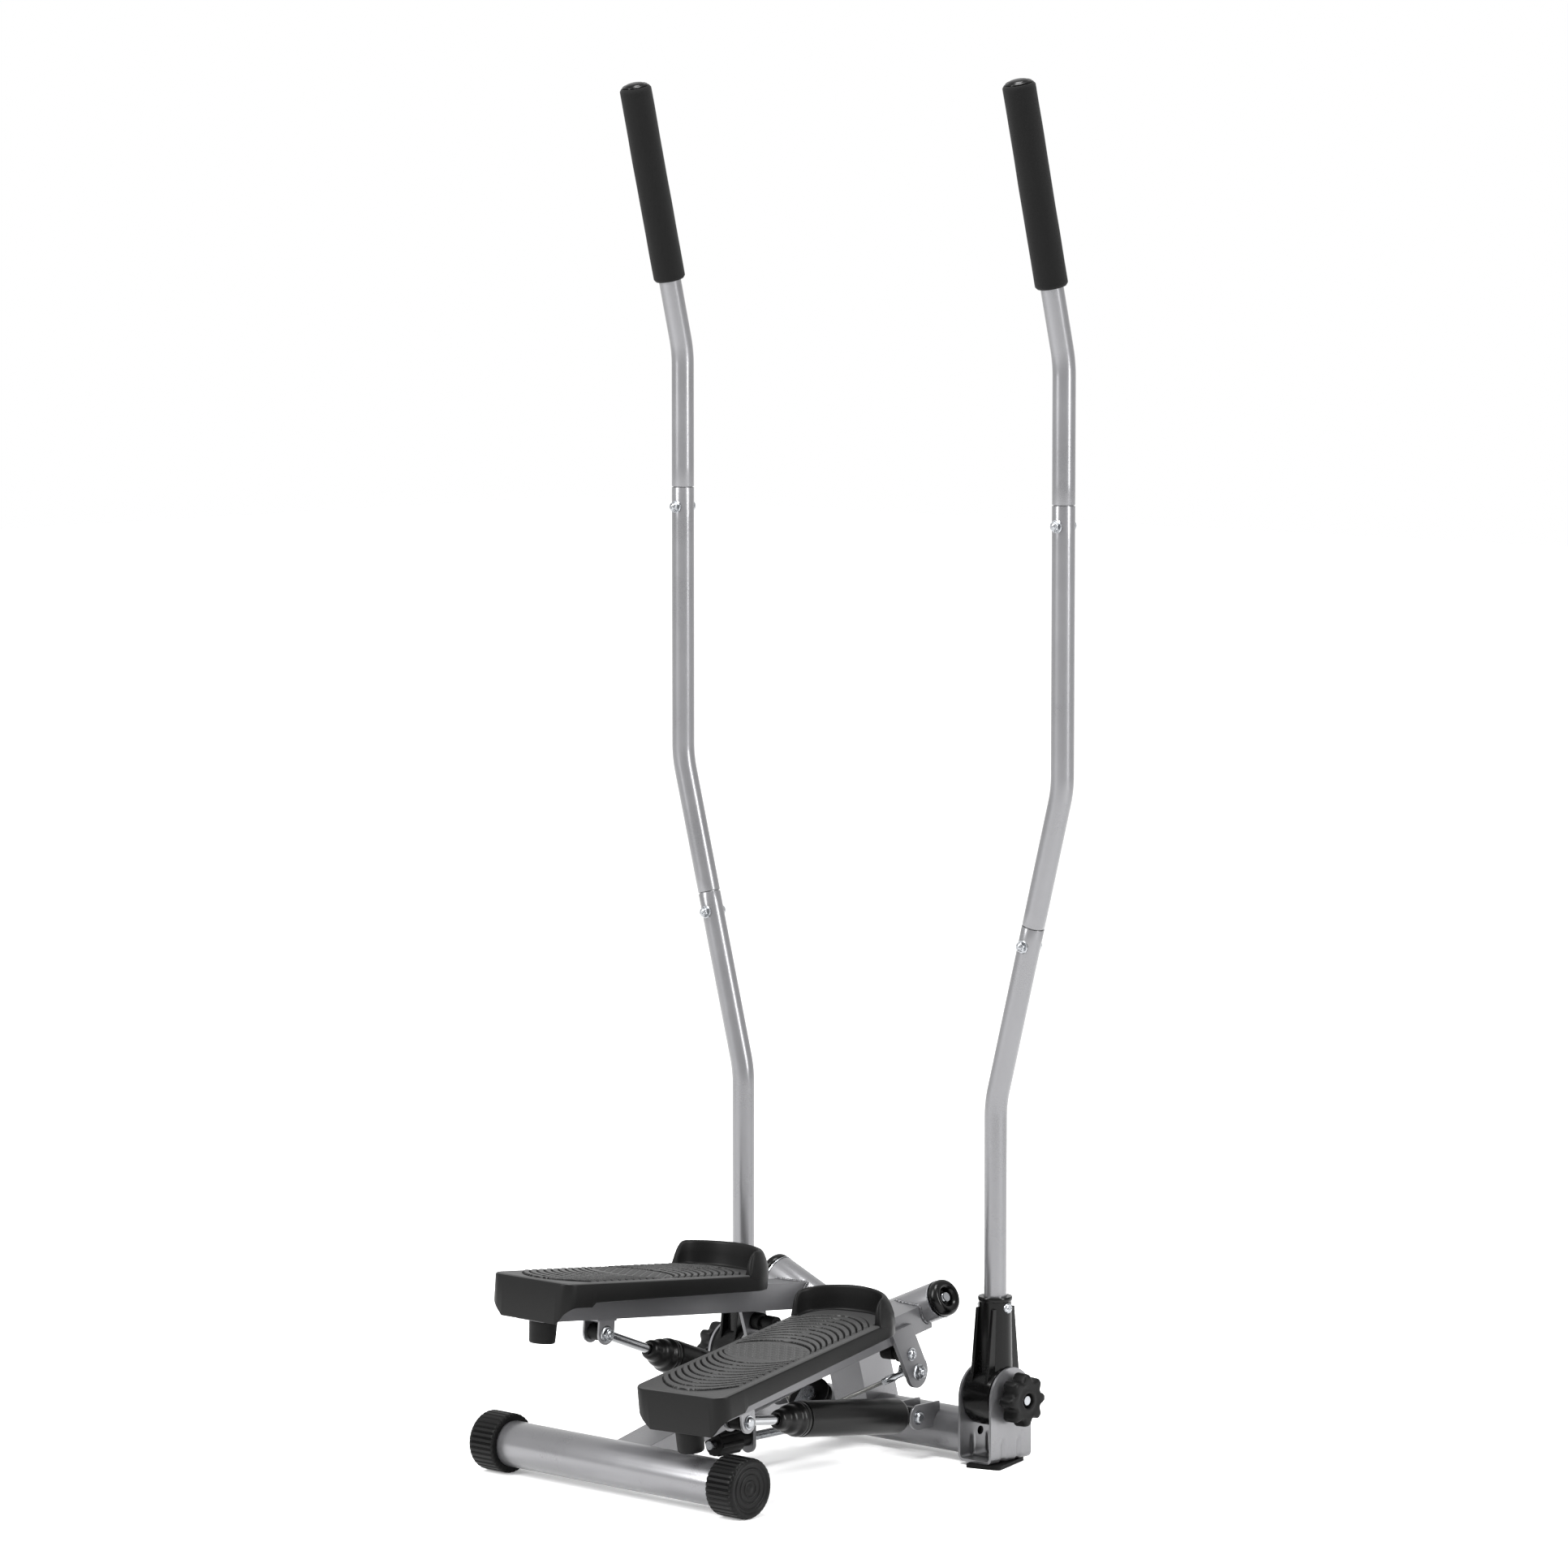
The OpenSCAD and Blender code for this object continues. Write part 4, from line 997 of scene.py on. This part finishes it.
for s in (1, -1):
    m = ped(s)
    sh = Shape()
    em = m @ T(*E) @ along_x()
    sh.revolve([(0, -13), (4, -13), (4, 13.2), (0, 13.2)], em, 28)
    sh.revolve([(0, 13.1), (7.6, 13.1), (7.6, 14.0), (0, 14.0)], em, 48)
    button(sh, em @ T(0, 0, 13.9), r=6.2, h=3.6, hexs=2.9)
    nut(sh, em @ R(180, "X") @ T(0, 0, 13.1), af=13, h=6.0, stud=2.4, r=4)
    km = m @ T(0, K[1], K[2]) @ along_x()
    sh.revolve([(0, 5), (4, 5), (4, 26), (0, 26)], km, 28)
    nut(sh, km @ T(0, 0, 25.05), af=13, h=6.6, stud=2.2, r=4)
    sh.loft([hexring(13, 2, 7.5), hexring(13, 6.4, 7.5), hexring(13, 7, 6.4)], km)
    sh.ring([(4.05, 8.5), (7.2, 8.5), (8, 9.3), (8, 14.7), (7.2, 15.5), (4.05, 15.5)], km, 48)
    sm = m @ T(0, S[1], S[2]) @ along_x()
    sh.revolve([(0, -14), (3, -14), (3, 25.1), (0, 25.1)], sm, 24)
    sh.revolve([(0, 25.05), (7.4, 25.05), (7.4, 26.0), (0, 26.0)], sm, 40)
    pan(sh, sm @ T(0, 0, 25.9), r=5.8, h=3.2)
    # crimp on the rope's end
    k = pedal_point((12, K[1], K[2]), s)
    q = on_wheel(-WRAP) if s > 0 else on_wheel(WRAP - 180)
    d = (q - k).normalized()
    a0, a1 = 6.5, 33.0
    prof = [(a0, 3.0), (a0 + 1.5, 3.5), (a0 + 9, 3.5), (a0 + 10, 4.2), (a0 + 21, 4.2), (a0 + 22, 3.6), (a1 - 1, 3.5), (a1, 2.9)]
    sh.sweep([k + d * w for w, _ in prof], [r for _, r in prof], 40)
    sh.obj("pedal_hardware_" + side(s), "zinc_steel", side(s) + "_pedal", ["pedal_bolts_" + side(s)], angle=40)

    # laid wire rope: six strands round a core
    path = [k + d * 30.0]
    Lr = (q - k).length
    for i in range(1, 61):
        path.append(k + d * (30 + (Lr - 30) * i / 60))
    aa = -WRAP if s > 0 else WRAP - 180
    for i in range(1, 25):
        path.append(on_wheel(aa + (-90 - aa) * i / 24))
    dist = [0.0]
    for i in range(1, len(path)):
        dist.append(dist[-1] + (path[i] - path[i - 1]).length)
    sh = Shape()
    sh.sweep(path, 1.75, 16)
    dense = []
    total = dist[-1]
    steps = int(total / 0.9)
    up = None
    frames = []
    for i in range(steps + 1):
        w = total * i / steps
        j = max(0, min(len(dist) - 2, int(np.searchsorted(dist, w)) - 1))
        f = (w - dist[j]) / max(1e-9, dist[j + 1] - dist[j])
        p = path[j].lerp(path[j + 1], f)
        t = (path[j + 1] - path[j]).normalized()
        if up is None:
            up = t.orthogonal().normalized()
        up = (up - t * up.dot(t)).normalized()
        frames.append((p, up.copy(), t.cross(up), w))
    for c in range(6):
        pts = [p + 1.55 * (cos(2 * pi * (c / 6 + w / 15)) * a + sin(2 * pi * (c / 6 + w / 15)) * b) for p, a, b, w in frames]
        sh.sweep(pts, 0.82, 8)
    rope = sh.obj("laid_rope_" + side(s), "wire", None, ["wire_rope"], angle=60)
    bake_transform(rope)

# ------------------------------------------------------------------ weld beads


def bead(name, pts, body, r=2.0, mat="silver_paint"):
    path = []
    rad = []
    for i in range(len(pts) - 1):
        for k in range(6):
            path.append(pts[i].lerp(pts[i + 1], k / 6))
            rad.append(r * (0.82 + 0.18 * sin(len(path) * 1.7) + rng.uniform(-0.06, 0.06)))
    path.append(pts[-1])
    rad.append(r * 0.6)
    rad[0] = r * 0.6
    sh = Shape()
    sh.sweep(path, rad, 10)
    sh.obj(name, mat, body, slot=mat, angle=70)


for s in (1, -1):
    m = ped(s)
    # sleeve in the arm: where the arm's sides and top meet the sleeve
    inv = m.inverted()
    a0 = inv @ axle(s) @ Vector((0, 0, 0))
    a1 = inv @ axle(s) @ Vector((0, 0, -100))
    ax = (a1 - a0).normalized()

    def meet(x, z, sign=-1):
        # y where the line (x, y, z) meets the sleeve of radius 21
        o = Vector((x, 0, z)) - a0
        dy = Vector((0, 1, 0))
        dperp = dy - ax * dy.dot(ax)
        operp = o - ax * o.dot(ax)
        A, B, Cc = dperp.dot(dperp), 2 * dperp.dot(operp), operp.dot(operp) - 21.3 ** 2
        disc = B * B - 4 * A * Cc
        if disc < 0:
            return None
        return (-B + sign * math.sqrt(disc)) / (2 * A)
    for nm, xx in (("out", 20.2), ("in", -20.2)):
        pts = []
        for i in range(15):
            z = -47 + 30 * i / 14
            y = meet(xx, z)
            if y is not None:
                pts.append(m @ Vector((xx, y, z)))
        if len(pts) > 3:
            bead("weld_%s_%s" % (nm, side(s)), pts, side(s) + "_pedal", 2.2, "grey_paint")
    pts = []
    for i in range(15):
        x = -20 + 40 * i / 14
        y = meet(x, -17)
        if y is not None:
            pts.append(m @ Vector((x, y, -17)))
    if len(pts) > 3:
        bead("weld_top_" + side(s), pts, side(s) + "_pedal", 2.2, "grey_paint")

# beam on the rear tube
bx = 25.0
bm0 = T(0, Y0 - 205, 33.2) @ R(13.2, "X")
pts = []
for i in range(17):
    x = -bx + 2 * bx * i / 16
    # upper face of the beam against the tube
    zz = 14.0
    best = None
    for k in range(200):
        y = k * 0.25
        p = bm0 @ Vector((x, y, zz))
        if math.hypot(p.y - (Y0 - 210), p.z - 33) > 25.6:
            best = p
            break
    if best:
        pts.append(best)
if len(pts) > 3:
    bead("weld_beam", pts, "base", 2.4)

# ------------------------------------------------------------------ carried-over nodes: finish and soft edges
SLOT = {
    "rear_tube": "silver_paint", "main_beam": "silver_paint", "center_post": "silver_paint", "front_tube": "silver_paint",
    "foot_pads": "black_rubber", "cylinder_lugs": "silver_paint", "pedal_axles": "zinc_steel", "axle_washers": "zinc_steel",
    "handle_pivot_bolts": "zinc_steel", "adjuster_lug": "grey_paint", "pulley_yoke": "zinc_steel", "pulley": "black_plastic",
    "height_knob": "black_plastic", "pedal_arm": "grey_paint", "pivot_sleeve": "silver_paint", "sleeve_bushes": "white_nylon",
    "rod_bracket": "silver_paint", "link_plate": "grey_paint", "stop_roller": "black_rubber",
}
BEVEL = {"main_beam": 3.0, "center_post": 3.0, "pedal_arm": 3.0, "rod_bracket": 0.6, "link_plate": 0.7, "cylinder_lugs": 0.6,
         "foot_pads": 1.0, "height_knob": 0.8, "stop_roller": 0.8, "pulley": 0.4, "adjuster_lug": 0.6, "pivot_sleeve": 0.5,
         "rear_tube": 0.3, "front_tube": 0.3}
for name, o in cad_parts.items():
    stem = name[:-6] if name.endswith("_right") else (name[:-5] if name.endswith("_left") else name)
    if stem not in SLOT:
        continue
    for i in range(len(o.material_slots)):
        o.material_slots[i].material = M[SLOT[stem]]
    if not o.material_slots:
        o.data.materials.append(M[SLOT[stem]])
    if stem in BEVEL:
        w = o.modifiers.new("join", "WELD")
        w.merge_threshold = 0.00001
        b = o.modifiers.new("edge", "BEVEL")
        b.width = BEVEL[stem] * 0.001
        b.segments = 3
        b.limit_method = "ANGLE"
        b.angle_limit = RAD(40)
        b.use_clamp_overlap = True
        b.harden_normals = True
